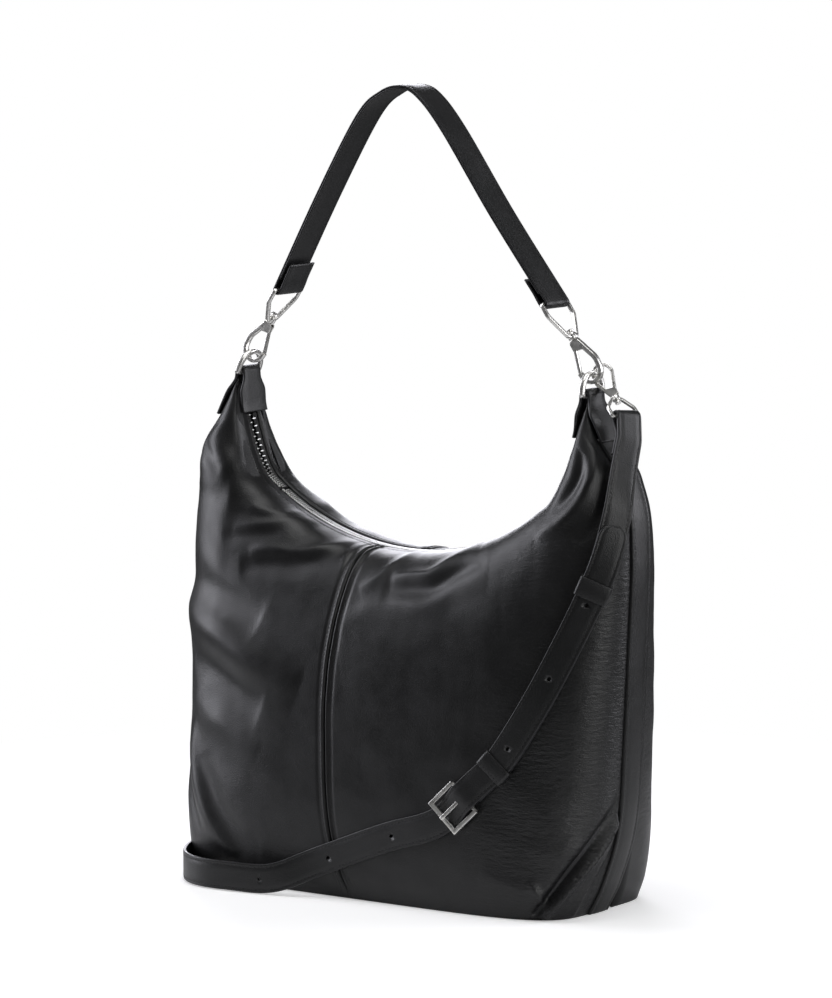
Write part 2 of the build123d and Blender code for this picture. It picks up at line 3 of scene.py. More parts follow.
import bpy
import numpy as np
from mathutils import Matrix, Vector


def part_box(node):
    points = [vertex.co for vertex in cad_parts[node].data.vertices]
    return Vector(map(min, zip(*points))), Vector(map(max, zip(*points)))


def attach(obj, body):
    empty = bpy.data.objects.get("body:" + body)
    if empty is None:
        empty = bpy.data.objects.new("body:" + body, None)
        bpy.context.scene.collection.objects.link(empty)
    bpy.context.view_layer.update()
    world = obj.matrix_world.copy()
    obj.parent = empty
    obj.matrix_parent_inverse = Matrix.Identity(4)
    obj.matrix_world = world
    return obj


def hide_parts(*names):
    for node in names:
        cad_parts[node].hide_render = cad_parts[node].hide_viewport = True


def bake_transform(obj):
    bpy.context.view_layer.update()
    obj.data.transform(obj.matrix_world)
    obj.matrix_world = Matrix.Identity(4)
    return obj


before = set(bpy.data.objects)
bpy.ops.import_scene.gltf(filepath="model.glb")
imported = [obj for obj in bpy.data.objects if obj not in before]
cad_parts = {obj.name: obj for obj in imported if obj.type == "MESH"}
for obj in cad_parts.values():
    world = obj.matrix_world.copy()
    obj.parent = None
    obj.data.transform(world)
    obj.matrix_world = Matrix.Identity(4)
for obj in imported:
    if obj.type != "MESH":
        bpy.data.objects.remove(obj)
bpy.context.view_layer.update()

# Lengths below are in millimetres, as in part.py, and become metres when a mesh is made.
MM = 0.001

# ---- the bag's surface, as in part.py ----
LEATHER = 2.2
HALF_WIDTH = [(0, 176), (20, 184), (60, 193), (130, 197), (200, 200), (270, 201), (330, 194), (360, 175),
              (392, 162)]
HALF_DEPTH = [(0, 78), (20, 83), (60, 84), (110, 82), (180, 79), (250, 70), (300, 60), (330, 50), (357, 39),
              (375, 27), (392, 18)]
SQUARENESS = [(0, 4.6), (60, 3.3), (130, 2.8), (280, 2.6), (340, 3.2), (392, 4.5)]
SEAM_LEAN = [(0, -7), (60, -24), (150, -34), (262, -32), (392, -30)]
BODY_LEAN = [(0, 0), (60, 0), (120, 2), (235, 3), (300, 4), (330, 1), (358, 0), (392, 0)]
STRIP_LEAN = [(0, -13), (30, -6), (70, 0), (120, 0)]
STRIP_HALF = 13
ZIP_RADIUS = 222
ZIP_CENTRE = 484
ZIP_ARC_REACH = 137
ZIP_CLIMB = 0.075
ZIP_HALF_GAP = 7.5
TEETH_DROP = 1.4
MOUTH_REACH = 126
BASE_THICK = 2.4
EAR_HEIGHT = 392.0
LOWEST_TOP = 200.0          # the zip is above this everywhere

# ---- straps and metal, as in part.py ----
HANDLE_WIDTH = 31
STRAP_WIDTH = 22.5
STRAP_THICK = 2.6
LAYER = 1.5
WIRE = 2.1
RING_HALF = 13.5
RING_BAR = (161.5, 392)
RING_TILT = {-1: 20, 1: 0}
HOOK_ANGLE = 56
HOOK_LENGTH = 61
SMALL = 0.82
STRAP_EYE_BAR = 52.5
EYE_CLEAR = 2.5
FOLD_UNDER = 1.3
FOLD_LENGTH = 24
NEAR_HOOK_AT = (164.0, 8.9, 408.1)
NEAR_HOOK_ALONG = (0.66, -0.22, -0.72)
FAR_HOOK_AT = (116.0, 111.0, 6.4)
FAR_HOOK_ALONG = (-0.98, 0.0, 0.2)
STRAP_ENDS = [(NEAR_HOOK_AT, NEAR_HOOK_ALONG, (0.93, -0.2, 0.25)), (FAR_HOOK_AT, FAR_HOOK_ALONG, (0, 1, 0))]
HANDLE_FOLD = 3.0           # half the thickness of the handle, where it folds round its eyes
HANDLE_TRIM = 4             # line points left out at each end, where the fold takes over
HANDLE_LINE = [(-81, 532), (-43, 594), (-22, 612), (-5, 616.5), (10, 611), (33, 586), (78, 523)]
NEAR_RUN = [((197.5, -2.8, 368), (0.9, -0.2, 0.4)), ((199.5, -16, 338), (0.88, -0.4, 0.2)),
            ((202.5, -28.5, 307), (0.75, -0.63, 0.18)), ((198.5, -38.5, 272), (0.62, -0.78, 0.08)),
            ((188.5, -44.5, 243), (0.53, -0.84, 0.05)), ((176, -53.5, 210), (0.44, -0.89, 0.06)),
            ((156.5, -64.5, 166), (0.32, -0.94, 0.06)), ((131, -74, 121), (0.2, -0.98, 0.05)),
            ((112, -79, 101), (0.13, -0.99, 0.05)), ((97, -82, 85), (0.08, -0.99, 0.04)),
            ((86, -84, 73), (0.05, -1, 0.03)), ((68, -85.5, 64), (0.03, -1, 0.02)),
            ((33, -86, 53), (0, -1, 0)), ((-29, -88, 28), (0, -1, 0))]
FLOOR_RUN = [((-66, -98, 12.5), (0.05, -1, 0)), ((-103, -105, 11.6), (-0.02, -1, 0)),
             ((-133, -104, 11.6), (-0.3, -0.95, 0)), ((-157, -88, 11.6), (-0.75, -0.66, 0)),
             ((-176, -55, 11.6), (-0.92, -0.38, 0)), ((-190, -10, 11.6), (-1, -0.12, 0)),
             ((-190, 40, 11.6), (-0.98, 0.2, 0)), ((-172, 82, 11.6), (-0.75, 0.66, 0)),
             ((-135, 106, 11.6), (-0.35, 0.94, 0)), ((-85, 114, 11.6), (0, 1, 0)),
             ((-34, 112, 11.6), (0.03, 1, 0)), ((8, 109.6, 11.6), (0.03, 1, 0)),
             ((36, 108.4, 12.5), (-0.02, 1, 0)), ((62, 107.8, 14.4), (0, 1, 0))]
# distances along the strap from its near end
BUCKLE_RUN = 315
TIP_RUN = 76
LOOSE_KEEPER_RUN = 126

# ---- folds in the leather ----
# Each runs through (distance round from the front's middle, height), then its height, its width
# on the left and on the right of the way it runs, and how sharp it is (2 soft, 1 creased).
FRONT_FOLDS = [
    # sagging under the zip
    ([(-92, 257), (-77, 260), (-54, 259), (-33, 263), (-14, 267)], 2.4, 3.2, 7.5, 1.5),
    ([(-98, 246), (-72, 251), (-45, 252), (-12, 260)], -3.2, 6, 9, 2),
    ([(-112, 274), (-94, 277), (-73, 281), (-52, 279)], 1.5, 2.2, 5, 1.4),
    ([(-120, 268), (-94, 270), (-68, 272)], -1.3, 4, 5, 2),
    ([(-104, 292), (-90, 288), (-72, 285), (-55, 287)], 1.3, 2.4, 5, 1.5),
    ([(-118, 288), (-92, 283), (-70, 281)], -0.9, 2.5, 3, 2),
    # the left shoulder
    ([(-165, 350), (-148, 337), (-132, 325), (-122, 316)], 2.4, 7, 9, 2),
    ([(-172, 322), (-150, 322), (-126, 315)], 1.8, 6, 9, 2),
    ([(-170, 336), (-152, 328), (-134, 316)], -1.8, 4, 6, 2),
    ([(-176, 300), (-150, 296), (-122, 298)], -1.6, 8, 10, 2),
    # the long diagonal across the left panel
    ([(-190, 212), (-143, 202), (-112, 194), (-84, 182), (-58, 172), (-26, 160)], 7.5, 12, 19, 2),
    ([(-180, 232), (-135, 226), (-100, 217), (-70, 206)], -3.2, 13, 15, 2),
    ([(-150, 168), (-118, 164), (-90, 152), (-62, 140)], -3.6, 14, 18, 2),
    ([(-152, 140), (-128, 128), (-98, 120), (-66, 104)], 1.6, 10, 14, 2),
    # the lower left corner
    ([(-150, 120), (-145, 92), (-131, 63), (-115, 39), (-98, 20)], 4.2, 8, 13, 1.8),
    ([(-164, 96), (-150, 62), (-134, 36)], -3.0, 7, 8, 2),
    ([(-132, 96), (-116, 66), (-96, 44), (-70, 30)], -2.2, 10, 14, 2),
    # radiating from the seam's top over the right panel
    ([(14, 236), (26, 246), (36, 256), (44, 266)], 1.9, 3.5, 7, 1.5),
    ([(40, 246), (54, 249), (74, 252), (90, 264), (108, 276)], 3.2, 4, 9, 1.5),
    ([(36, 238), (56, 240), (80, 242), (100, 254), (124, 266)], -3.0, 6, 8, 2),
    ([(4, 206), (24, 219), (47, 225), (77, 232), (100, 246), (130, 256)], 1.8, 10, 14, 2),
    ([(8, 190), (60, 206), (110, 216), (150, 226)], 1.6, 16, 22, 2),
    # the right shoulder's long roll beside the strap
    ([(247, 356), (236, 342), (222, 327), (208, 311), (190, 297), (168, 288)], 4.0, 5.5, 8, 1.6),
    ([(228, 352), (216, 336), (202, 320), (184, 306)], -2.6, 4, 5, 2),
    ([(256, 336), (240, 318), (224, 300), (204, 284)], -3.0, 6, 9, 2),
    # the lower right
    ([(120, 120), (160, 108), (196, 86), (222, 70)], 1.8, 14, 18, 2),
    ([(190, 60), (214, 52), (238, 58)], 1.6, 7, 8, 2),
    ([(150, 34), (184, 26), (208, 20)], 1.8, 8, 9, 1.6),
]
# the box corner's darts beside the right side strip: a sharp ridge and the ditch it throws
CORNER_FOLDS = [
    ([(272, 92), (262, 72), (250, 52), (236, 29), (222, 6), (216, -8)], 8.0, 4.2, 3.0, 1.25),
    ([(266, 92), (253, 70), (240, 50), (226, 28), (212, 6), (206, -8)], -6.0, 4, 4.5, 1.8),
    ([(262, 62), (255, 42), (249, 20), (246, -6)], 2.6, 2.4, 3, 1.3),
    ([(262, 44), (259, 26), (256, 4)], -1.6, 2.4, 2.6, 1.8),
    ([(198, 30), (210, 20), (220, 8)], 4.0, 2.4, 3.6, 1.4),
]
BACK_FOLDS = [
    ([(-110, 262), (-60, 256), (-10, 258), (50, 254), (104, 262)], 2.4, 4, 9, 1.7),
    ([(-120, 246), (-50, 240), (20, 243), (110, 246)], -3.0, 8, 11, 2),
    ([(-150, 300), (-118, 288), (-86, 284)], 1.8, 4, 7, 1.6),
    ([(150, 302), (120, 290), (84, 284)], 1.8, 7, 4, 1.6),
    ([(-185, 330), (-168, 310), (-140, 296)], 2.6, 6, 8, 2),
    ([(188, 332), (170, 312), (142, 298)], 2.6, 8, 6, 2),
    ([(-172, 196), (-120, 184), (-70, 168), (-30, 158)], 4.0, 12, 17, 2),
    ([(176, 214), (120, 206), (60, 184), (20, 168)], 3.6, 15, 12, 2),
    ([(-160, 120), (-120, 96), (-70, 74)], -3.0, 16, 16, 2),
    ([(164, 130), (120, 98), (80, 70)], -3.0, 16, 16, 2),
    ([(-170, 66), (-150, 36), (-130, 14)], 3.4, 7, 9, 1.8),
    ([(172, 66), (152, 38), (130, 12)], 3.4, 9, 7, 1.8),
    ([(-60, 216), (0, 206), (64, 214)], 1.8, 16, 18, 2),
]


def curve(rows):
    """A smooth function through (height, value) rows, flat beyond its ends."""
    at = np.array([row[0] for row in rows], float)
    value = np.array([row[1] for row in rows], float)
    slope = np.array([(value[min(i + 1, len(at) - 1)] - value[max(i - 1, 0)])
                      / (at[min(i + 1, len(at) - 1)] - at[max(i - 1, 0)]) for i in range(len(at))])

    def read(z):
        z = np.clip(z, at[0], at[-1])
        i = np.clip(np.searchsorted(at, z, side="right") - 1, 0, len(at) - 2)
        span = at[i + 1] - at[i]
        t = (z - at[i]) / span
        start = (2 * t**3 - 3 * t**2 + 1) * value[i] + (t**3 - 2 * t**2 + t) * span * slope[i]
        return start + (3 * t**2 - 2 * t**3) * value[i + 1] + (t**3 - t**2) * span * slope[i + 1]
    return read


half_width = curve(HALF_WIDTH)
half_depth = curve(HALF_DEPTH)
squareness = curve(SQUARENESS)
seam_lean = curve(SEAM_LEAN)
body_lean = curve(BODY_LEAN)
strip_lean = curve(STRIP_LEAN)


def smoothstep(t):
    t = np.clip(t, 0, 1)
    return t * t * (3 - 2 * t)


def unit(v):
    v = np.asarray(v, float)
    return v / np.linalg.norm(v, axis=-1, keepdims=True)


def way_at(line, i):
    """The direction of a line of points at one of them."""
    return unit(line[min(i + 1, len(line) - 1)] - line[max(i - 1, 0)])


def square_to(vector, way):
    """The direction of the part of a vector that is square to a way."""
    return unit(vector - way * np.dot(vector, way))


def runs_of(points):
    """How far along a line each of its points is."""
    return np.concatenate([[0], np.cumsum(np.linalg.norm(np.diff(points, axis=0), axis=-1))])


def read_at(at, run, rows):
    """The rows of a table of vectors, read between its runs."""
    return np.stack([np.interp(at, run, rows[:, k]) for k in range(3)], -1)


def zip_height(x):
    inside = np.minimum(np.abs(x), ZIP_ARC_REACH)
    past = np.abs(x) - inside
    slope = ZIP_ARC_REACH / math.sqrt(ZIP_RADIUS**2 - ZIP_ARC_REACH**2)
    return ZIP_CENTRE - np.sqrt(ZIP_RADIUS**2 - inside**2) + slope * past + ZIP_CLIMB * past**2


def bag_x(side, across, z, inset):
    shift = seam_lean(z) if side < 0 else 0 * z
    return body_lean(z) + (half_width(z) - inset) * across + shift * (1 - np.abs(across))


def bag_top(side, across):
    """The height at which the bag's surface meets the zip, by bisection."""
    low = np.full_like(across, LOWEST_TOP)
    high = np.full_like(across, EAR_HEIGHT)
    for _ in range(30):
        middle = (low + high) / 2
        under = middle < zip_height(bag_x(side, across, middle, 0))
        low = np.where(under, middle, low)
        high = np.where(under, high, middle)
    return low


def bag_surface(side, across, rise, inset=0.0):
    """Points on the bag for arrays of across (-1 to 1) and rise (0 base, 1 zip)."""
    z = rise * (bag_top(side, across) - inset)
    x = bag_x(side, across, z, inset)
    reach = np.minimum(1, np.abs(x - body_lean(z)) / (half_width(z) - inset))
    power = squareness(z)
    boxy = 3.5 + 4 * reach**4
    y = ZIP_HALF_GAP + (half_depth(z) - ZIP_HALF_GAP - inset) * (1 - reach**power)**(1 / power) \
        * (1 - np.minimum(1, rise)**boxy)**(1 / boxy)
    return np.stack([x, side * y, z], -1)


ARC_HEIGHT = 180            # distances round the bag are measured at this height


def round_table(side):
    """(across, distance round from the panel's middle) at one height."""
    across = np.linspace(-1, 1, 4001)
    z = np.full_like(across, ARC_HEIGHT)
    x = bag_x(side, across, z, 0)
    reach = np.minimum(1, np.abs(x - body_lean(z)) / half_width(z))
    y = ZIP_HALF_GAP + (half_depth(z) - ZIP_HALF_GAP) * (1 - reach**squareness(z))**(1 / squareness(z))
    run = runs_of(np.stack([x, y], -1))
    return across, run - np.interp(0, across, run)


ROUND = {side: round_table(side) for side in (-1, 1)}


def zip_depth(grid):
    """How far points of the bag's surface are from the zip's edge."""
    x, y, z = grid[..., 0], grid[..., 1], grid[..., 2]
    return np.hypot(np.maximum(0, zip_height(x) - z), np.maximum(0, np.abs(y) - ZIP_HALF_GAP))


# ---- materials ----
class Nodes:
    """A new node material and short ways to wire it."""
    def __init__(self, name):
        self.material = bpy.data.materials.new(name)
        self.material.use_nodes = True
        self.tree = self.material.node_tree
        self.shader = self.tree.nodes["Principled BSDF"]
        self.place = self.add("ShaderNodeTexCoord").outputs["Object"]

    def add(self, kind, **values):
        made = self.tree.nodes.new(kind)
        for key, value in values.items():
            setattr(made, key, value)
        return made

    def link(self, a, b):
        self.tree.links.new(a, b)

    def stretched(self, scale):
        mapping = self.add("ShaderNodeMapping")
        mapping.inputs["Scale"].default_value = scale
        self.link(self.place, mapping.inputs["Vector"])
        return mapping.outputs["Vector"]

    def noise(self, scale, detail=3.0, rough=0.5, stretch=None):
        made = self.add("ShaderNodeTexNoise")
        self.link(self.stretched(stretch) if stretch else self.place, made.inputs["Vector"])
        made.inputs["Scale"].default_value = scale
        made.inputs["Detail"].default_value = detail
        made.inputs["Roughness"].default_value = rough
        return made.outputs["Fac"]

    def cells(self, scale):
        made = self.add("ShaderNodeTexVoronoi")
        self.link(self.place, made.inputs["Vector"])
        made.inputs["Scale"].default_value = scale
        return made.outputs["Distance"]

    def spread(self, source, low, high, out_low, out_high):
        made = self.add("ShaderNodeMapRange")
        self.link(source, made.inputs["Value"])
        for key, value in (("From Min", low), ("From Max", high), ("To Min", out_low), ("To Max", out_high)):
            made.inputs[key].default_value = value
        return made.outputs["Result"]

    def math(self, operation, a, b):
        made = self.add("ShaderNodeMath", operation=operation)
        for socket, value in zip(made.inputs, (a, b)):
            if isinstance(value, (int, float)):
                socket.default_value = value
            else:
                self.link(value, socket)
        return made.outputs["Value"]

    def colour(self, source, low, high, dark, light):
        ramp = self.add("ShaderNodeValToRGB")
        self.link(source, ramp.inputs["Fac"])
        ramp.color_ramp.elements[0].position = low
        ramp.color_ramp.elements[0].color = (*dark, 1)
        ramp.color_ramp.elements[1].position = high
        ramp.color_ramp.elements[1].color = (*light, 1)
        self.link(ramp.outputs["Color"], self.shader.inputs["Base Color"])

    def bump(self, layers):
        """layers of (height source, strength, distance in metres), the coarsest first"""
        normal = None
        for source, strength, distance in layers:
            made = self.add("ShaderNodeBump")
            made.inputs["Strength"].default_value = strength
            made.inputs["Distance"].default_value = distance
            self.link(source, made.inputs["Height"])
            if normal:
                self.link(normal, made.inputs["Normal"])
            normal = made.outputs["Normal"]
        self.link(normal, self.shader.inputs["Normal"])

    def set(self, **values):
        for key, value in values.items():
            self.shader.inputs[key.replace("_", " ")].default_value = value


def leather_material(name, dark, light, rough, grain, crinkle):
    """Black nappa: a fine pebble grain, slack creases where crinkle is high, and uneven polish."""
    n = Nodes(name)
    n.colour(n.noise(14, 4, 0.6), 0.35, 0.7, dark, light)
    polish = n.noise(46, 3, 0.6)
    pebble = n.cells(1150)
    pores = n.noise(2600, 2, 0.6)
    creases = n.noise(210, 4, 0.62, stretch=(0.55, 0.55, 1.9))
    n.link(n.spread(polish, 0.3, 0.7, rough - 0.05, rough + 0.07), n.shader.inputs["Roughness"])
    where = n.add("ShaderNodeAttribute", attribute_name="slack").outputs["Fac"]
    crinkled = n.math("MULTIPLY", where, crinkle) if crinkle else 0.1
    crease_height = n.math("MULTIPLY", creases, crinkled)
    n.bump([(crease_height, 0.6, 0.0014), (pebble, grain, 0.0003), (pores, grain * 0.5, 0.00014)])
    n.set(Specular_IOR_Level=0.5, IOR=1.5)
    return n.material


def edge_material(name):
    """Smooth black paint, uneven in gloss."""
    n = Nodes(name)
    n.colour(n.noise(60, 3), 0.35, 0.7, (0.008, 0.008, 0.009), (0.016, 0.016, 0.018))
    n.link(n.spread(n.noise(90, 2), 0.3, 0.7, 0.34, 0.48), n.shader.inputs["Roughness"])
    n.bump([(n.noise(900, 2), 0.2, 0.0002)])
    return n.material


def thread_material(name, dark, light):
    """Waxed thread with a twist along it."""
    n = Nodes(name)
    n.colour(n.noise(700, 2), 0.3, 0.7, dark, light)
    n.link(n.spread(n.noise(900, 2), 0.3, 0.7, 0.5, 0.66), n.shader.inputs["Roughness"])
    twist = n.add("ShaderNodeTexWave", bands_direction="DIAGONAL")
    n.link(n.place, twist.inputs["Vector"])
    twist.inputs["Scale"].default_value = 900
    n.bump([(twist.outputs["Fac"], 0.5, 0.0001)])
    return n.material


def metal_material(name, tone, rough, brush):
    """Satin metal with a fine brushed grain, dulled unevenly by handling."""
    n = Nodes(name)
    n.colour(n.noise(120, 3), 0.3, 0.75, [c * 0.86 for c in tone], tone)
    n.link(n.spread(n.noise(240, 4, 0.65), 0.3, 0.7, rough - 0.06, rough + 0.08), n.shader.inputs["Roughness"])
    grain = n.noise(2200, 2, 0.5, stretch=(1, 1, 0.12))
    n.bump([(grain, brush, 0.00012), (n.noise(160, 2), 0.05, 0.0008)])
    n.set(Metallic=1.0)
    return n.material


def cloth_material(name, dark, light, thread_scale):
    """Woven cloth: two crossed bands of threads."""
    n = Nodes(name)
    warp = n.add("ShaderNodeTexWave", bands_direction="X")
    weft = n.add("ShaderNodeTexWave", bands_direction="Z")
    for wave in (warp, weft):
        n.link(n.place, wave.inputs["Vector"])
        wave.inputs["Scale"].default_value = thread_scale
        wave.inputs["Distortion"].default_value = 0.6
    weave = n.math("MAXIMUM", warp.outputs["Fac"], weft.outputs["Fac"])
    n.colour(n.math("MULTIPLY", weave, n.noise(60, 3)), 0.2, 0.65, dark, light)
    n.bump([(weave, 0.4, 0.0002)])
    n.set(Roughness=0.75, Sheen_Weight=0.15, Sheen_Roughness=0.5)
    return n.material


LEATHER_SKIN = leather_material("bag_leather", (0.0045, 0.0048, 0.005), (0.0085, 0.0085, 0.0093),
                                rough=0.385, grain=0.3, crinkle=1.3)
STRAP_SKIN = leather_material("strap_leather", (0.006, 0.0065, 0.0068), (0.011, 0.011, 0.0118),
                              rough=0.4, grain=0.34, crinkle=0.0)
EDGE = edge_material("edge_paint")
THREAD = thread_material("thread", (0.004, 0.004, 0.0045), (0.010, 0.010, 0.011))
NICKEL = metal_material("satin_nickel", (0.94, 0.93, 0.90), 0.30, 0.03)
ZIP_METAL = metal_material("zip_metal", (0.78, 0.78, 0.77), 0.30, 0.04)
TAPE = cloth_material("zip_tape", (0.004, 0.004, 0.004), (0.014, 0.014, 0.015), 520)
LINING_CLOTH = cloth_material("lining_cloth", (0.012, 0.012, 0.013), (0.035, 0.035, 0.038), 380)
BOARD = edge_material("stiffener")
STRAP_MATERIALS = [STRAP_SKIN, EDGE]


# ---- mesh helpers ----
def make_piece(name, vertices, faces, materials, body=None, replaces=(), smooth=True, index=None):
    """A mesh object in the shared frame from points in millimetres, riding on a CAD body."""
    mesh = bpy.data.meshes.new(name)
    mesh.from_pydata([tuple(float(c) * MM for c in v) for v in vertices], [], faces)
    mesh.validate()
    for material in materials:
        mesh.materials.append(material)
    if index is not None:
        mesh.polygons.foreach_set("material_index", index)
    mesh.polygons.foreach_set("use_smooth", [smooth] * len(mesh.polygons))
    mesh.update()
    piece = bpy.data.objects.new(name, mesh)
    bpy.context.scene.collection.objects.link(piece)
    if replaces:
        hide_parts(*replaces)
    if body:
        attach(piece, body)
    return piece


def grid_faces(rows, columns, first=0, flip=False):
    faces = []
    for r in range(rows - 1):
        for c in range(columns - 1):
            a = first + r * columns + c
            face = (a, a + 1, a + columns + 1, a + columns)
            faces.append(face[::-1] if flip else face)
    return faces


def shell(outer, inner):
    """Vertices and outward faces of the closed slab between two grids of points."""
    rows, columns = outer.shape[:2]
    count = rows * columns
    vertices = np.concatenate([outer.reshape(-1, 3), inner.reshape(-1, 3)])
    faces = grid_faces(rows, columns) + grid_faces(rows, columns, count, True)
    rim = [r * columns for r in range(rows)] + [(rows - 1) * columns + c for c in range(1, columns)]
    rim += [r * columns + columns - 1 for r in range(rows - 2, -1, -1)] + list(range(columns - 2, 0, -1))
    for i, a in enumerate(rim):
        b = rim[(i + 1) % len(rim)]
        faces.append((a, b, b + count, a + count))
    return vertices, turned_out(vertices, faces)


def turned_out(vertices, faces):
    """The faces, all reversed if they enclose a negative volume."""
    points = np.asarray(vertices, float)
    volume = 0.0
    for face in faces:
        a = points[face[0]]
        for i in range(1, len(face) - 1):
            volume += np.dot(a, np.cross(points[face[i]], points[face[i + 1]]))
    return faces if volume > 0 else [tuple(face[::-1]) for face in faces]


def normals_of(grid):
    along = np.gradient(grid, axis=0)
    across = np.gradient(grid, axis=1)
    normal = np.cross(along, across)
    return normal / np.maximum(np.linalg.norm(normal, axis=-1, keepdims=True), 1e-9)


def spaced(points, step):
    """Evenly spaced places along a line, the line's direction at each, and their shares of the way."""
    points = np.asarray(points, float)
    run = runs_of(points)
    count = max(2, int(run[-1] / step))
    at = (np.arange(count) + 0.5) * run[-1] / count
    ways = unit(read_at(at + 0.4, run, points) - read_at(at - 0.4, run, points))
    return read_at(at, run, points), ways, at / run[-1]


STITCH_PITCH = 3.9
STITCH_LENGTH = 2.9
STITCH_RADIUS = 0.45
STITCH_SIDES = 6
STITCH_RINGS = [(-0.5, 0.25), (-0.4, 0.8), (0.0, 1.0), (0.4, 0.8), (0.5, 0.25)]


def stitches(name, lines, body, sunk=0.12, pitch=STITCH_PITCH, radius=STITCH_RADIUS, blend=None):
    """Thread stitches along lines of (points, normals), as small capsules half sunk in the leather."""
    vertices = []
    faces = []
    stitch = tube_faces(len(STITCH_RINGS), STITCH_SIDES)
    angles = [2 * math.pi * k / STITCH_SIDES for k in range(STITCH_SIDES)]
    length = STITCH_LENGTH * pitch / STITCH_PITCH
    for points, normals in lines:
        places, ways, shares = spaced(points, pitch)
        normals = np.asarray(normals, float)
        ups = read_at(shares * (len(normals) - 1), np.arange(len(normals)), normals)
        for place, way, up in zip(places, ways, ups):
            up = square_to(up, way)
            across = np.cross(up, way)
            faces += [tuple(v + len(vertices) for v in face) for face in stitch]
            for run, size in STITCH_RINGS:
                centre = place + way * run * length + up * (radius * (size - 1) - sunk)
                vertices += [centre + (across * math.cos(a) + up * math.sin(a)) * radius * size for a in angles]
    piece = make_piece(name, vertices, faces, [THREAD], None if blend else body)
    if blend:
        blend(piece)


def tube_faces(rings, around, closed=False):
    """Faces of a tube of rings, with its two ends capped or, when it is closed, joined."""
    faces = []
    for r in range(rings if closed else rings - 1):
        ahead = around if r < rings - 1 else -r * around
        for k in range(around):
            a = r * around + k
            b = r * around + (k + 1) % around
            faces.append((a, b, b + ahead, a + ahead))
    if not closed:
        faces.append(tuple(range(around))[::-1])
        faces.append(tuple(range((rings - 1) * around, rings * around)))
    return faces


# ---- the leather body ----
def fold_line(points, steps=10):
    """A smooth line through fold points, as an array with its share of the way at each."""
    line = np.array(smooth([np.array(p, float) for p in points], steps))
    return line, np.linspace(0, 1, len(line))


def smooth(points, steps):
    """Points of a smooth curve through the given ones, as in part.py."""
    line = []
    for i in range(len(points) - 1):
        p0 = points[max(i - 1, 0)]
        p1 = points[i]
        p2 = points[i + 1]
        p3 = points[min(i + 2, len(points) - 1)]
        for k in range(steps):
            t = k / steps
            a = p1 * 2
            b = (p2 - p0) * t
            c = (p0 * 2 - p1 * 5 + p2 * 4 - p3) * t**2
            d = (p1 * 3 - p0 - p2 * 3 + p3) * t**3
            line.append((a + b + c + d) * 0.5)
    return line + [points[-1]]


def fold_height(places, folds):
    """How far the folds lift the leather at (round, height) places."""
    lift = np.zeros(len(places))
    for points, height, left, right, sharp in folds:
        line, share = fold_line(points)
        reach = 3.2 * max(left, right)
        near = np.all((places > line.min(0) - reach) & (places < line.max(0) + reach), axis=1)
        spots = places[near]
        best = np.full(len(spots), 1e9)
        signed = np.zeros(len(spots))
        at = np.zeros(len(spots))
        for i in range(len(line) - 1):
            step = line[i + 1] - line[i]
            t = np.clip(((spots - line[i]) @ step) / (step @ step), 0, 1)
            gap = spots - line[i] - t[:, None] * step
            distance = np.hypot(gap[:, 0], gap[:, 1])
            better = distance < best
            best = np.where(better, distance, best)
            signed = np.where(better, step[0] * gap[:, 1] - step[1] * gap[:, 0], signed)
            at = np.where(better, share[i] + t * (share[i + 1] - share[i]), at)
        wide = np.where(signed > 0, left, right)
        ends = np.sin(math.pi * np.clip(at, 0.0, 1))**0.7
        lift[near] += height * np.exp(-(best / wide)**sharp) * ends
    return lift


FILL_SHARE = 0.11           # how much of the waves below shows in the leather


def slack_noise(places, seed):
    """Gentle unevenness of a filled leather bag: a few sums of slow waves."""
    random = np.random.default_rng(seed)
    lift = np.zeros(len(places))
    for size, height in ((95, 0.9), (52, 0.5), (27, 0.22), (15, 0.09)):
        for _ in range(5):
            angle = random.uniform(0, 2 * math.pi)
            phase = random.uniform(0, 2 * math.pi)
            length = size * random.uniform(0.8, 1.25)
            way = np.array([math.cos(angle), math.sin(angle) * 1.3]) * 2 * math.pi / length
            lift += height * FILL_SHARE * np.sin(places @ way + phase)
    return lift


SEAM_STEP = 0.7             # between columns beside the centre seam, to SEAM_REACH
SEAM_REACH = 9
WIDE_STEP = 2.1
DART_STEP = 1.25            # beyond DART_START, on the front's right
DART_START = 200


def columns_to(reach, darts):
    columns = [0.0]
    while columns[-1] < reach - 0.6:
        here = columns[-1]
        step = min(WIDE_STEP, SEAM_STEP + max(0.0, here - SEAM_REACH) * 0.1)
        columns.append(min(here + (DART_STEP if darts and here > DART_START else step), reach))
    return columns


def panel_columns(side):
    """Distances round: fine beside the centre seam and the darts, coarser elsewhere."""
    low, high = ROUND[side][1][[0, -1]]
    left = [-column for column in columns_to(-low, False)]
    return np.array(left[:0:-1] + columns_to(high, side < 0)), len(left) - 1


def panel_rises():
    """Shares of the way up, closer together where the leather turns over into the zip."""
    samples = np.linspace(0, 1, 3001)
    line = np.array([bag_surface(-1, np.array([0.3]), np.array([s]))[0] for s in samples])
    run = runs_of(line)
    at = np.arange(0, run[-1], 2.1)
    tail = run[-1] - np.array([3.4, 2.6, 1.9, 1.3, 0.8, 0.4, 0.0])
    return np.interp(np.concatenate([at[at < run[-1] - 4.4], tail]), run, samples)


RISES = panel_rises()
SEAM_STITCH = 4.2           # from the centre seam to its stitches
EDGE_STITCH = 4.5           # from the zip's edge to its stitches
NOISE_SEED = {-1: 7, 1: 11}


def bump(distance, centre, width):
    return np.exp(-((distance - centre) / width)**2)


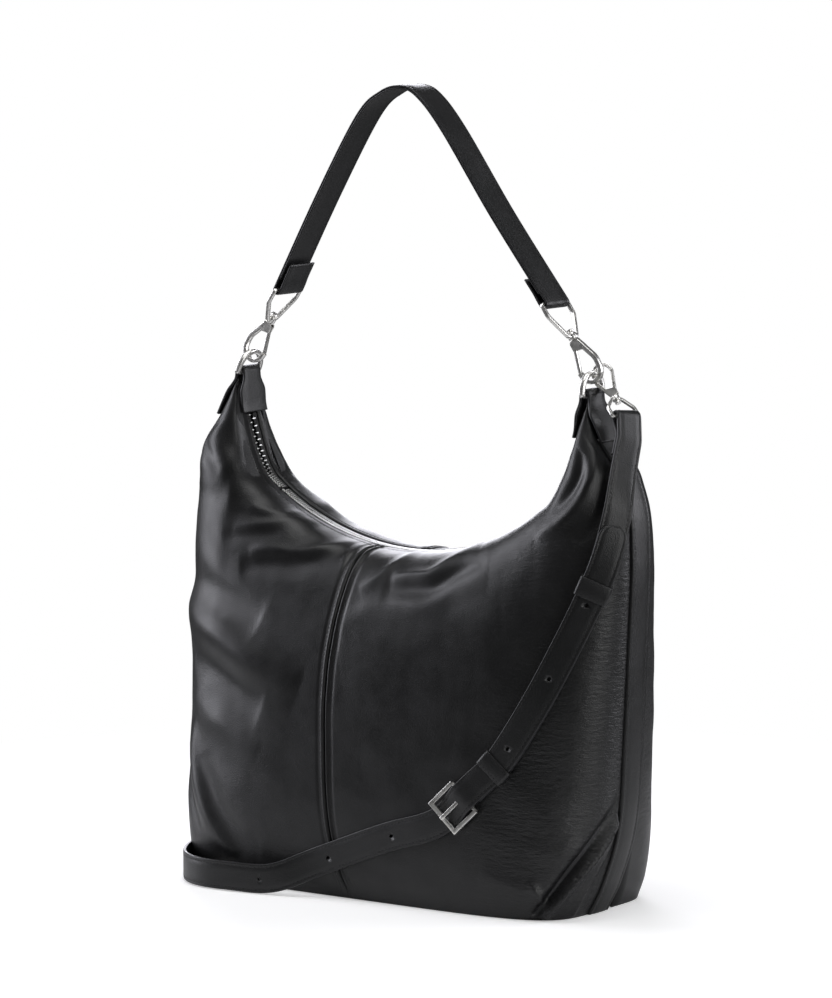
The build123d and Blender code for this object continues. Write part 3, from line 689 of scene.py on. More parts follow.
def seam_profile(distance):
    """The centre seam: a sunk line with a lapped, topstitched ridge on each side."""
    away = np.abs(distance)
    return (0.75 * bump(away, 2.3, 1.2) - 1.5 * bump(away, 0, 0.8) - 0.35 * bump(away, SEAM_STITCH, 0.7)
            - 0.5 * bump(away, 6.2, 1.6))


def panel_grid(side):
    """The displaced outer grid of one face of the bag, its normals, its (round, height) places and middle column."""
    columns, middle = panel_columns(side)
    across = np.interp(columns, ROUND[side][1], ROUND[side][0])
    wide, rise = np.meshgrid(across, RISES, indexing="ij")
    grid = bag_surface(side, wide.ravel(), rise.ravel()).reshape(wide.shape + (3,))
    normal = normals_of(grid)
    if normal[middle, 30, 1] * side < 0:
        normal = -normal
    rounds = np.repeat(columns[:, None], len(RISES), axis=1)
    z = grid[..., 2]
    places = np.stack([rounds, z], -1).reshape(-1, 2)
    lift = fold_height(places, FRONT_FOLDS if side < 0 else BACK_FOLDS) + slack_noise(places, NOISE_SEED[side])
    # folds die out at the zip edge, the strips and the floor
    depth = zip_depth(grid)
    from_side = np.minimum(columns[-1] - rounds, rounds - columns[0])
    lift = lift.reshape(wide.shape) * smoothstep(depth / 14) * smoothstep((from_side - 5) / 14) * smoothstep(z / 10)
    if side < 0:
        corner = fold_height(places, CORNER_FOLDS).reshape(wide.shape)
        lift += corner * smoothstep((from_side - 1) / 5) * smoothstep(z / 3)
    lift += seam_profile(rounds) * smoothstep((z - 4) / 10)
    # the folded edge beside the zip stands proud, with its stitches pulled in
    lift += 0.7 * bump(depth, 1.4, 1.5) - 0.35 * bump(depth, EDGE_STITCH, 0.9)
    return grid + normal * lift[..., None], normal, places.reshape(wide.shape + (2,)), middle


def follow_lip():
    """Returns a step that bakes a piece's transform into its mesh."""

    def apply(piece):
        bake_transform(piece)
    return apply


def slack_of(places, side):
    """Where the grain is crinkled: the lower right of the front, and a little elsewhere."""
    x, z = places[:, 0], places[:, 1]
    if side > 0:
        return 0.08 + 0.5 * np.exp(-(((np.abs(x) - 200) / 45)**2)) * smoothstep((z - 10) / 60)
    right = smoothstep((x - 120) / 80) * (0.55 + 0.45 * np.exp(-((z - 70) / 70)**2))
    return 0.06 + 0.94 * right * smoothstep((330 - z) / 60)


def make_bag():
    for side, word in ((-1, "front"), (1, "back")):
        outer, normal, places, middle = panel_grid(side)
        inner = outer - normal * LEATHER
        follow = follow_lip()
        for name, part in (("left", slice(0, middle + 1)), ("right", slice(middle, None))):
            vertices, faces = shell(outer[part], inner[part])
            piece = make_piece(f"leather_{word}_{name}", vertices, faces, [LEATHER_SKIN, EDGE], None,
                               [f"{word}_{name}_panel", f"{word}_mouth_edge"])
            slack = slack_of(places[part].reshape(-1, 2), side)
            attribute = piece.data.attributes.new("slack", "FLOAT", "POINT")
            attribute.data.foreach_set("value", np.concatenate([slack, slack]).astype(np.float32))
            follow(piece)
        columns = panel_columns(side)[0]
        seam_lines = []
        for offset in (-SEAM_STITCH, SEAM_STITCH):
            c = int(np.argmin(np.abs(columns - offset)))
            seam_lines.append((outer[c, 6:], normal[c, 6:]))
        stitches(f"seam_stitches_{word}", seam_lines, None, blend=follow, pitch=3.4)
        # the row of stitches beside the zip
        depth = zip_depth(outer)
        row = []
        for c in range(4, len(columns) - 4, 3):
            r = len(RISES) - 1 - int(np.argmax(depth[c][::-1] > EDGE_STITCH))
            if abs(outer[c, r, 0]) < 152:
                row.append((c, r))
        line = [outer[spot] for spot in row], [normal[spot] for spot in row]
        stitches(f"zip_edge_stitches_{word}", [line], None, blend=follow, pitch=3.6)


def side_point(side, y, z, offset):
    share = np.maximum(0.0, np.abs(y) - ZIP_HALF_GAP) / (half_depth(z) - ZIP_HALF_GAP)
    power = squareness(z)
    return body_lean(z) + side * (half_width(z) * (1 - np.minimum(share, 0.97)**power)**(1 / power) + offset)


STRIP_SHAPE = [(-1.0, 0.2), (-0.985, 1.6), (-0.93, 2.35), (-0.82, 2.25), (-0.74, 2.05), (-0.6, 2.5), (-0.3, 2.75)]
STRIP_SHAPE += [(0, 2.8)] + [(-u, lift) for u, lift in STRIP_SHAPE[::-1]]


def make_side_strips():
    """The band of leather down each side, raised over the panels and stitched along both edges."""
    for name, side in (("left", -1), ("right", 1)):
        outer = []
        inner = []
        for z in np.linspace(0, 360, 150):
            half = min(STRIP_HALF, float(half_depth(z)) * 0.6)
            centre = float(strip_lean(z)) + 0.5 * math.sin(z / 37)
            spots = [(centre + u * half, lift) for u, lift in STRIP_SHAPE]
            outer.append([(side_point(side, y, z, lift), y, z) for y, lift in spots])
            inner.append([(side_point(side, y, z, -0.6), y, z) for y, lift in spots])
        outer = np.array(outer, float)
        vertices, faces = shell(outer, np.array(inner, float))
        make_piece(f"side_band_{name}", vertices, faces, [LEATHER_SKIN], "bag",
                   [f"side_strip_{name}"])
        normals = normals_of(outer)
        if normals[40, 7, 0] * side < 0:
            normals = -normals
        lines = [(outer[2:-3, c], normals[2:-3, c]) for c in (4, 10)]
        stitches(f"side_stitches_{name}", lines, "bag", pitch=3.5)


def make_lining():
    """A cloth lining hung just inside the leather, with a slip pocket on its back."""
    for side, word in ((-1, "front"), (1, "back")):
        columns = np.linspace(ROUND[side][1][0] + 1, ROUND[side][1][-1] - 1, 110)
        across = np.interp(columns, ROUND[side][1], ROUND[side][0])
        wide, rise = np.meshgrid(across, RISES[2:-3:2], indexing="ij")
        grids = []
        for inset in (LEATHER + 1.2, LEATHER + 1.8):
            grid = bag_surface(side, wide.ravel(), rise.ravel(), inset).reshape(wide.shape + (3,))
            x, y, z = (grid[..., k] for k in range(3))
            ripple = 0.8 * np.sin(x / 9.0 + np.sin(z / 31.0) * 2) * smoothstep(z / 60)
            y -= side * (0.9 + ripple) * smoothstep((np.abs(y) - 12) / 14)
            grid[..., 2] = np.maximum(grid[..., 2], BASE_THICK + 2.4)
            grids.append(grid)
        vertices, faces = shell(grids[0], grids[1])
        names = [f"lining_{word}"] + (["lining_base"] if side < 0 else [])
        piece = make_piece(f"lining_cloth_{word}", vertices, faces, [LINING_CLOTH], None, names)
        follow_lip()(piece)
    turns = np.linspace(-math.pi / 2, math.pi / 2, 60)
    edge = [bag_surface(side, np.sin(turns[::-side]), np.zeros(60), LEATHER + 0.6) for side in (-1, 1)]
    outline = np.concatenate(edge)[:, :2]
    for name, low, high, share, material, slot, replaced in (
            ("base_leather", 0.0, BASE_THICK, 1.0, LEATHER_SKIN, "bag_leather", "base_panel"),
            ("base_stiffener", BASE_THICK + 0.1, BASE_THICK + 1.7, 0.9, BOARD, "stiffener", "base_board")):
        vertices = [(x * share * shrink, y * share * shrink, z) for z, shrink in
                    ((low, 0.985), (low + 0.5, 1.0), (high - 0.5, 1.0), (high, 0.985)) for x, y in outline]
        make_piece(name, vertices, turned_out(vertices, tube_faces(4, len(outline))), [material], "bag",
                   [replaced], smooth=False)
    lo, hi = (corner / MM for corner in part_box("inner_pocket"))
    z, x = np.meshgrid(np.linspace(hi[2], lo[2], 24), np.linspace(lo[0], hi[0], 60), indexing="ij")
    bowed = 1 - (x / hi[0])**2
    outer = np.stack([x, lo[1] + (2.5 - 2.6 * (z - lo[2]) / (hi[2] - lo[2])) * bowed, z], -1)
    vertices, faces = shell(outer, outer + np.array([0, 0.8, 0]))
    make_piece("slip_pocket", vertices, faces, [LINING_CLOTH], "bag", ["inner_pocket"])
    stitches("pocket_stitches", [(outer[2], [(0, -1, 0)] * len(outer[2]))], "bag")


# ---- the zip ----
def zip_frame(x):
    """The zip's place, direction and upward normal at one x."""
    slope = (zip_height(x + 0.05) - zip_height(x - 0.05)) / 0.1
    way = np.array([1, 0, slope]) / math.hypot(1, slope)
    up = np.array([-slope, 0, 1]) / math.hypot(1, slope)
    return np.array([x, 0, zip_height(x)]), way, up


TOOTH_PITCH = 1.6
# a tooth from root to head: how far out, half its length and half its height
TOOTH = [(0.25, 0.30, 0.45), (0.75, 0.42, 0.72), (1.7, 0.46, 0.95), (2.5, 0.62, 1.15), (3.3, 0.62, 1.15),
         (3.6, 0.45, 0.9)]
TOOTH_CORNERS = [(-1, -0.7), (-0.7, -1), (0.7, -1), (1, -0.7), (1, 0.7), (0.7, 1), (-0.7, 1), (-1, 0.7)]
TAPE_SECTION = [(ZIP_HALF_GAP + 1.2, 0.1), (5.2, 0.55), (3.2, 0.35), (2.4, 0.9), (1.7, 0.5)]
ZIP_END = 158


def make_zip():
    for side, word in ((-1, "front"), (1, "back")):
        for label, low, high, body, node in (
                ("", -MOUTH_REACH + 0.6, MOUTH_REACH - 0.6, f"{word}_lip", f"{word}_zip_teeth"),
                ("_left_end", -ZIP_END, -MOUTH_REACH - 1.2, "bag", "zip_end_left"),
                ("_right_end", MOUTH_REACH + 1.2, ZIP_END, "bag", "zip_end_right")):
            outer = []
            inner = []
            for x in np.linspace(low, high, max(2, int((high - low) / 3))):
                middle, way, up = zip_frame(x)
                middle = middle - up * TEETH_DROP
                outer.append([middle + up * v + np.array([0, side * u, 0]) for u, v in TAPE_SECTION])
                inner.append([point - up * 0.6 for point in outer[-1]])
            vertices, faces = shell(np.array(outer), np.array(inner))
            replaced = node if label else f"{word}_zip_tape"
            make_piece(f"zip_tape_{word}{label}", vertices, faces, [TAPE], body, [replaced])
            make_teeth(f"zip_teeth_{word}{label}", side, low, high, body, node)


def make_teeth(name, side, low, high, body, node):
    """A row of cast teeth, each a bevelled block with a narrower nose, set to mesh with the other side's."""
    vertices = []
    faces = []
    tooth = tube_faces(len(TOOTH), len(TOOTH_CORNERS))
    start = 0.25 if side < 0 else 0.75
    for k in range(int((high - low) / TOOTH_PITCH)):
        middle, way, up = zip_frame(low + TOOTH_PITCH * (k + start))
        middle = middle - up * (TEETH_DROP - 0.35)
        faces += [tuple(v + len(vertices) for v in face) for face in tooth]
        vertices += [middle + way * u * half + up * v * high_half + np.array([0, side * out, 0])
                     for out, half, high_half in TOOTH for u, v in TOOTH_CORNERS]
    make_piece(name, vertices, turned_out(vertices, faces), [ZIP_METAL], body, [node], smooth=False)


# ---- rings' tabs ----
TAB_WIDTH = 31.0


def make_tabs():
    """A folded tab over each ear, through the ring, stitched across its foot."""
    for name, side in (("left", -1), ("right", 1)):
        bar_x, bar_z = RING_BAR
        loop = WIRE + 0.5 + 1.0
        route = [(bar_x - 7.0, 360), (bar_x - 5.6, 366), (bar_x - 5.0, 374), (bar_x - loop - 0.6, 384)]
        route += [(bar_x - loop * math.cos(a), bar_z + loop * math.sin(a)) for a in np.linspace(0, math.pi, 11)]
        route += [(bar_x + loop + 1.4, 384), (bar_x + 11.0, 373), (bar_x + 15.6, 364), (bar_x + 18.6, 358)]
        line = smooth([np.array([side * x, 0.0, z]) for x, z in route], 5)
        neck = RING_HALF * 2 - WIRE * 2 - 1.6
        stations = []
        for i, point in enumerate(line):
            way = way_at(line, i)
            normal = np.array([-way[2], 0, way[0]])
            wide = neck + (TAB_WIDTH - neck) * float(smoothstep((388 - point[2]) / 12))
            stations.append((point, np.array([0.0, 1.0, 0.0]), normal, wide))
        flat_strap(f"ear_tab_{name}", stations, 2.2, "bag", [f"tab_{name}"], crown=0.3)
        lines = []
        for i in (6, len(line) - 12):
            point, across, normal, wide = stations[i]
            row = [point + across * wide * t + normal * 1.1 for t in np.linspace(-0.42, 0.42, 12)]
            lines.append((row, [normal] * 12))
        stitches(f"tab_stitches_{name}", lines, "bag", pitch=3.3, sunk=0.05)


# ---- straps ----
def strap_profile(thick, crown=0.0, groove=True):
    """(across as a share of the width, lift) round a strap's section, its edges rounded and stitched in."""
    half = thick / 2
    edge = [(0.5, 0.0), (0.499, half * 0.5), (0.490, half * 0.86), (0.475, half)]
    top = list(edge)
    if groove:
        top += [(0.415, half + 0.10), (0.385, half - 0.22), (0.355, half + 0.12)]
    top += [(0.2, half + crown * 0.7)]
    under = [(u, -lift) for u, lift in edge[1:]] + [(0.2, -half)]
    return (top + [(0, half + crown)] + [(-u, lift) for u, lift in top[::-1]]
            + [(-u, lift) for u, lift in under] + under[::-1])


EDGE_SHARE = 0.474          # a strap's painted edge begins at this share of its width


def flat_strap(name, stations, thick, body, replaced, crown=0.15, groove=False):
    """A strap through stations of (centre, across, lift, width)."""
    profile = strap_profile(thick, crown, groove)
    vertices = np.array([centre + across * (u * wide) + lift * v
                         for centre, across, lift, wide in stations for u, v in profile])
    around = len(profile)
    faces = turned_out(vertices, tube_faces(len(stations), around))
    piece = make_piece(name, vertices, faces, STRAP_MATERIALS, body, replaced)
    edge = []
    for face in piece.data.polygons:
        columns = {v % around for v in face.vertices}
        edge.append(int(len(columns) == 2 and min(abs(profile[c][0]) for c in columns) >= EDGE_SHARE))
    piece.data.polygons.foreach_set("material_index", edge)
    return piece


def framed(points, normals, width):
    """Stations with their across and lift vectors from a line, its normals, and one width or one at each."""
    stations = []
    for i, point in enumerate(points):
        way = way_at(points, i)
        normal = square_to(normals[i], way)
        stations.append((point, np.cross(normal, way), normal, width[i] if isinstance(width, list) else width))
    return stations


def edge_lines(stations, lift, share=0.385):
    """The two lines of stitches along a strap's face."""
    ups = [n if lift > 0 else -n for c, a, n, w in stations]
    return [([c + a * (sign * share * w) + n * lift for c, a, n, w in stations], ups) for sign in (-1, 1)]


def cross_row(centre, across, normal, wide, lift, share, count):
    """A row of stitches across a strap."""
    return [centre + across * wide * t + normal * lift for t in np.linspace(-share, share, count)], [normal] * count


def half_turn(bar, tangent, normal, radius):
    """(point, normal) round the outside of a bar, from one side of a strap to the other."""
    outs = [normal * math.cos(a) + tangent * math.sin(a) for a in np.linspace(0, math.pi, 17)]
    return [(bar + out * radius, out) for out in outs]


def hook_axes(side):
    """Where a handle's hook hangs on its ring, and which way it points."""
    lean = math.radians(RING_TILT[side])
    top = 3.0 + RING_HALF
    origin = np.array([side * (RING_BAR[0] - top * math.sin(lean)), 0, RING_BAR[1] + top * math.cos(lean)])
    along = np.array([-side * math.cos(math.radians(HOOK_ANGLE)), 0, math.sin(math.radians(HOOK_ANGLE))])
    return origin, along


def make_handle():
    ends = []
    for side in (-1, 1):
        origin, along = hook_axes(side)
        ends.append(origin + along * HOOK_LENGTH)
    line = smooth([ends[0]] + [np.array([x, 0.0, z]) for x, z in HANDLE_LINE] + [ends[1]], 24)
    normals = [np.array([-way[2], 0, way[0]]) for way in (way_at(line, i) for i in range(len(line)))]
    kept = range(HANDLE_TRIM, len(line) - HANDLE_TRIM)
    outer = [(line[i] + normals[i] * HANDLE_FOLD, normals[i]) for i in kept]
    turns = []
    for end, before in ((0, 1), (-1, -2)):
        way = unit(line[end] - line[before])
        normal = np.array([way[2], 0, -way[0]]) * (1 if end == 0 else -1)
        turn = half_turn(line[end], way, normal, HANDLE_FOLD)
        back = line[end] - normal * HANDLE_FOLD
        turn += [(back - way * run + normal * rise, -normal)
                 for run, rise in ((3, 0.0), (6, 0.1), (9, 0.4), (12, 0.6), (17, 0.6), (22, 0.6), (24.5, 0.6))]
        turns.append(turn)
    full = turns[0][::-1] + outer + turns[1]
    inner = [(line[i] + normals[i] * (HANDLE_FOLD - LAYER - 0.05), normals[i]) for i in kept]
    whole, inside, outside = (framed(*zip(*part), HANDLE_WIDTH) for part in (full, inner, outer))
    flat_strap("handle_outer_strap", whole, LAYER, "handle", ["handle_outer"], crown=0.1,
               groove=True)
    flat_strap("handle_inner_strap", inside, LAYER, "handle", ["handle_inner"], crown=0.0)
    lines = edge_lines(outside, LAYER / 2, 0.41) + edge_lines(inside, -LAYER / 2, 0.41)
    # two rows across each folded end, on the inner face
    for turn in turns:
        for pick in (-2, -6):
            centre, normal = turn[pick]
            way = unit(turn[pick + 1][0] - turn[pick - 1][0])
            lines.append(cross_row(centre, np.cross(normal, way), normal, HANDLE_WIDTH, LAYER / 2, 0.43, 14))
    stitches("handle_stitches", lines, "handle", pitch=3.5, radius=0.38)


def strap_line():
    """Points and normals along the strap's inner face, 1 mm apart."""
    places, normals = (np.array(smooth([np.array(stop[k], float) for stop in NEAR_RUN + FLOOR_RUN], 24))
                       for k in (0, 1))
    run = runs_of(places)
    at = np.arange(0, run[-1], 1.0)
    points = read_at(at, run, places)
    kernel = np.ones(15) / 15
    padded = np.concatenate([points[:1] * 2 - points[7:0:-1], points, points[-1:] * 2 - points[-2:-9:-1]])
    points = np.stack([np.convolve(padded[:, k], kernel, "valid") for k in range(3)], -1)
    return points, unit(read_at(at, run, normals))


STRAP_POINTS, STRAP_NORMALS = strap_line()
# how far the long part's middle is above the inner face: it lies on the short part, then goes through the buckle
lift_table = curve([(0, 4.7), (BUCKLE_RUN - 40, 4.7), (BUCKLE_RUN - 12, 5.2), (BUCKLE_RUN, 6.6),
                    (BUCKLE_RUN + 12, 3.2), (BUCKLE_RUN + 22, 1.7), (BUCKLE_RUN + 60, 1.5), (3000, 1.5)])
STRAP_HOLES = [138, 200, 262, BUCKLE_RUN + 22, 390, 453, 515]


def strap_at(run, lift):
    """Place, direction and normal at a run along the strap."""
    i = int(np.clip(run, 1, len(STRAP_POINTS) - 2))
    way = way_at(STRAP_POINTS, i)
    normal = square_to(STRAP_NORMALS[i], way)
    return STRAP_POINTS[i] + normal * lift, way, normal


def strap_turn(end):
    """The turn of the strap round the bar of one end's eye."""
    at, along, strap_normal = (np.array(v, float) for v in STRAP_ENDS[end])
    forward = unit(along)
    bar = at + forward * (STRAP_EYE_BAR * SMALL)
    return half_turn(bar, -forward, square_to(strap_normal, forward), STRAP_THICK / 2 + EYE_CLEAR)


def eased(parts):
    """Joins runs of (point, normal) and rounds the corners where they meet."""
    points, normals = (np.array([pair[k] for part in parts for pair in part]) for k in (0, 1))
    run = runs_of(points)
    at = np.linspace(0, run[-1], int(run[-1] / 1.6))
    lines = read_at(at, run, points), read_at(at, run, normals)
    for line in lines * 2:
        line[1:-1] = (line[:-2] + line[1:-1] * 2 + line[2:]) / 4
    return lines


HOLE_RADIUS = 1.35
HOLE_STRETCH = 1.35         # a hole's length over its width
HOLE_SIDES = 16


def punched(piece, runs):
    """Oval holes through the long strap, cut with a boolean."""
    vertices = []
    faces = []
    for run in runs:
        place, way, normal = strap_at(run, float(lift_table(run)))
        across = np.cross(normal, way)
        faces += [tuple(v + len(vertices) for v in face) for face in tube_faces(2, HOLE_SIDES)]
        for level in (-3, 3):
            for k in range(HOLE_SIDES):
                angle = 2 * math.pi * k / HOLE_SIDES
                vertices.append(place + way * math.cos(angle) * HOLE_RADIUS * HOLE_STRETCH
                                + across * math.sin(angle) * HOLE_RADIUS + normal * level)
    mesh = bpy.data.meshes.new("punch")
    mesh.from_pydata([tuple(v * MM) for v in vertices], [], turned_out(vertices, faces))
    punch = bpy.data.objects.new("punch", mesh)
    bpy.context.scene.collection.objects.link(punch)
    cut = piece.modifiers.new("holes", "BOOLEAN")
    cut.operation = "DIFFERENCE"
    cut.solver = "EXACT"
    cut.object = punch
    bpy.context.view_layer.update()
    result = bpy.data.meshes.new_from_object(piece.evaluated_get(bpy.context.evaluated_depsgraph_get()))
    piece.modifiers.clear()
    piece.data = result
    bpy.data.objects.remove(punch)


def strap_run(indices, lift_of, sign=1):
    """(point, normal) over part of the strap, on its face or, with sign -1, under it."""
    return [(STRAP_POINTS[i] + STRAP_NORMALS[i] * lift_of(i), STRAP_NORMALS[i] * sign) for i in indices]


def under_strap(i):
    return -FOLD_UNDER


def make_strap():
    count = len(STRAP_POINTS)
    body = strap_run(range(8, BUCKLE_RUN - 6), lambda i: 1.5)
    fold = strap_run(range(5, FOLD_LENGTH), under_strap, -1)
    stations = framed(*eased([(strap_turn(0) + fold)[::-1], body]), STRAP_WIDTH)
    flat_strap("strap_short_leather", stations, STRAP_THICK, "bag", ["strap_short"], groove=True)
    body_stations = framed(*eased([body]), STRAP_WIDTH)
    lines = edge_lines(body_stations[2:], STRAP_THICK / 2)
    # the row across the folded end
    lines.append(cross_row(*body_stations[12], STRAP_THICK / 2 + 0.1, 0.36, 9))
    stitches("strap_short_stitches", lines, "bag", pitch=3.3, sunk=0.22)

    upper = strap_run(range(TIP_RUN, count - 8), lambda i: float(lift_table(i)))
    fold = strap_run(range(count - 5, count - FOLD_LENGTH, -1), under_strap, -1)
    line, ups = eased([upper, strap_turn(1) + fold])
    run = runs_of(line)
    # the free end is rounded to a point
    widths = [STRAP_WIDTH * (0.30 + 0.70 * math.sqrt(max(0.0, 1 - (1 - min(r / 11.0, 1.0))**2))) for r in run]
    stations = framed(line, ups, widths)
    long_piece = flat_strap("strap_long_leather", stations, STRAP_THICK, "bag", ["strap_long"],
                            groove=True)
    punched(long_piece, STRAP_HOLES)
    last = int(np.argmax(run > run[-1] - 60))
    stitched = [s for s, r in zip(stations, run) if 9 < r < run[last]]
    stitches("strap_long_stitches", edge_lines(stitched, STRAP_THICK / 2), "bag", pitch=3.3,
             sunk=0.22)


KEEPER_THICK = 1.15
KEEPER_CORNER = 1.6
KEEPER_SECTION = [(-0.5, 0.0), (-0.5, 0.75), (-0.46, 1.0), (0.0, 1.1), (0.46, 1.0), (0.5, 0.75), (0.5, 0.0)]


def keeper_loop(name, run, lift, high, length, body, node):
    """A leather band round the strap, with rounded corners."""
    place, way, normal = strap_at(run, lift)
    across = np.cross(normal, way)
    half_wide = STRAP_WIDTH / 2 + 0.6
    half_high = high / 2
    outline = rounded_section(half_wide, half_high, KEEPER_CORNER, 5)
    vertices = [place + across * (u + nu * KEEPER_THICK * t) + normal * (v + nv * KEEPER_THICK * t)
                + way * (s * length) for u, v, nu, nv in outline for s, t in KEEPER_SECTION]
    faces = tube_faces(len(outline), len(KEEPER_SECTION), closed=True)
    make_piece(name, vertices, turned_out(vertices, faces), [STRAP_SKIN], body, [node])
    lines = [cross_row(place + way * (s * length), across, normal, half_wide, half_high + KEEPER_THICK * 1.04, 0.9, 9)
             for s in (-0.36, 0.36)]
    stitches(name + "_stitches", lines, body, pitch=2.9, sunk=0.1, radius=0.3)


# ---- hardware ----
def local_frame(origin, x_dir, z_dir, size=1.0):
    """Turns points of a part's own axes into points of the bag's frame."""
    x = unit(x_dir)
    z = square_to(np.array(z_dir, float), x)
    axes = np.stack([x, np.cross(z, x), z])
    return lambda points: np.asarray(points, float) @ axes * size + np.array(origin, float)


def rounded_path(points, radius, closed=False, steps=5):
    """A flat path with its corners rounded."""
    points = [np.array(p, float) for p in points]
    count = len(points)
    path = []
    for i, corner in enumerate(points):
        if not closed and i in (0, count - 1):
            path.append(corner)
            continue
        before = points[i - 1] - corner
        after = points[(i + 1) % count] - corner
        cut = min(radius, np.linalg.norm(before) * 0.45, np.linalg.norm(after) * 0.45)
        start = corner + unit(before) * cut
        end = corner + unit(after) * cut
        for k in range(steps + 1):
            t = k / steps
            path.append(start * (1 - t)**2 + corner * 2 * t * (1 - t) + end * t**2)
    return np.array(path)


def rounded_section(half_a, half_b, radius, steps=4):
    """A rounded rectangle, as points with their normals."""
    section = []
    for sa, sb, start in ((1, 1, 0), (-1, 1, 90), (-1, -1, 180), (1, -1, 270)):
        for k in range(steps):
            angle = math.radians(start + 90 * k / (steps - 1))
            out_a, out_b = math.cos(angle), math.sin(angle)
            section.append((sa * (half_a - radius) + radius * out_a, sb * (half_b - radius) + radius * out_b,
                            out_a, out_b))
    return section


def band(path, half_thick, half_wide, radius=0.6, closed=False, plane="xy"):
    """A bar swept along a flat path: thick in the path's plane, wide through it."""
    count = len(path)
    half_thick = np.broadcast_to(half_thick, count)
    vertices = []
    for i in range(count):
        before = unit(path[i] - path[i - 1] if closed or i > 0 else path[1] - path[0])
        after = unit(path[(i + 1) % count] - path[i] if closed or i < count - 1 else path[-1] - path[-2])
        way = unit(before + after)
        out = np.array([-way[1], way[0]]) / max(0.6, float(np.dot(way, after)))
        section = rounded_section(half_thick[i], half_wide, min(radius, half_thick[i] * 0.9))
        for a, b, _, _ in section:
            u, v = path[i] + out * a
            vertices.append((u, v, b) if plane == "xy" else (u, -b, v))
    return np.array(vertices), turned_out(vertices, tube_faces(count, len(section), closed))


def turned(profile, steps=28):
    """A body of revolution about the part's x axis from (x, radius) points."""
    angles = [2 * math.pi * k / steps for k in range(steps)]
    vertices = [(x, radius * math.cos(a), radius * math.sin(a)) for x, radius in profile for a in angles]
    return np.array(vertices), turned_out(vertices, tube_faces(len(profile), steps))


def plate_mesh(outline, low, high, ease=0.45):
    """A flat plate with eased edges, between two levels."""
    outline = np.array(outline, float)
    inward = unit(outline.mean(0) - outline) * ease
    vertices = []
    for level, shrink in ((low, 1), (low + ease, 0), (high - ease, 0), (high, 1)):
        vertices += [(x, y, level) for x, y in outline + inward * shrink]
    return np.array(vertices), turned_out(vertices, tube_faces(4, len(outline)))


def joined(*parts):
    """Several (vertices, faces) as one."""
    vertices = []
    faces = []
    for points, own in parts:
        faces += [tuple(v + len(vertices) for v in face) for face in own]
        vertices += [tuple(p) for p in points]
    return np.array(vertices), faces


def metal_piece(name, place, shape, body, node):
    points, faces = shape
    piece = make_piece(name, place(points), faces, [NICKEL], body, [node])
    piece.data.set_sharp_from_angle(angle=math.radians(38))
    return piece


HOOK_SPINE = [(27.6, 1.2), (20.5, 4.4), (8.2, 9.2), (-2.2, 8.3), (-6.8, 3.6), (-6.8, -3.6), (-2.2, -8.4), (4.4, -9.4)]
HOOK_CHEEK = [(28.4, 3.4), (28.4, -3.6), (26.6, -4.6), (21.2, -4.5), (20.2, -1.6), (18.6, 3.2), (20.4, 4.6)]
HOOK_CORE = [(28.4, 3.4), (28.4, -3.4), (27.2, -1.6), (24.0, 0.4), (20.0, 2.2), (20.4, 4.4)]
SWIVEL_POST = [(28.0, 1.9), (35.2, 1.9), (35.4, 2.7), (35.8, 3.0), (36.6, 3.0), (37.1, 2.5)]
SWIVEL_COLLAR = [(28.9, 2.4), (29.1, 3.4), (29.5, 3.7), (33.6, 3.7), (34.1, 3.4), (34.3, 2.4)]
GATE_LINE = [(26.0, -2.4), (22.0, -3.5), (4.9, -9.3)]


def hook_shapes():
    """A snap hook's frame and its gate, in the hook's own plane."""
    spine = rounded_path(HOOK_SPINE, 3.2)
    count = len(spine)
    thick = np.interp(np.arange(count), [0, 5, count * 0.35, count - 1], [2.2, 1.9, 1.75, 1.6])
    cheeks = [plate_mesh(HOOK_CHEEK, low, low + 0.9, 0.25) for low in (1.35, -2.25)]
    frame_part = joined(band(spine, thick, 2.2, 0.7), *cheeks, plate_mesh(HOOK_CORE, -1.4, 1.4, 0.1),
                        turned(SWIVEL_POST))
    return frame_part, band(rounded_path(GATE_LINE, 1.5), 1.35, 1.25, 0.5)


def eye_shape(bar_at, half_inner):
    """The loop that a strap folds round, with the collar that the hook turns in."""
    wide = half_inner + 1.5
    half = [(bar_at, wide), (bar_at - 10.5, wide), (31.6, 5.4)]
    path = rounded_path(half + [(x, -y) for x, y in half[::-1]], 2.2, closed=True)
    return joined(band(path, 1.5, 1.5, 0.75, closed=True, plane="xz"), turned(SWIVEL_COLLAR))


def hook_places():
    """(name, body of the eye, place of the hook, place of its eye, half the eye's width, bar's distance)"""
    places = []
    for name, side in (("left", -1), ("right", 1)):
        origin, along = hook_axes(side)
        place = local_frame(origin, along, (0, side, 0))
        places.append((name, "handle", place, place, HANDLE_WIDTH / 2 + 0.4, HOOK_LENGTH))
    half = STRAP_WIDTH / 2 / SMALL + 1.4
    for name, body, (at, along, strap_normal) in zip(("near", "far"), ("bag", "eye_far"), STRAP_ENDS):
        through = (0, 0.83, -0.56) if name == "near" else np.cross((0, 1, 0), along)
        along = unit(along)
        out = square_to(np.array(strap_normal), along)
        places.append((name, body, local_frame(at, along, through, SMALL),
                       local_frame(at, along, np.cross(out, along), SMALL), half, STRAP_EYE_BAR))
    return places


RING_STRAIGHT = 3.0


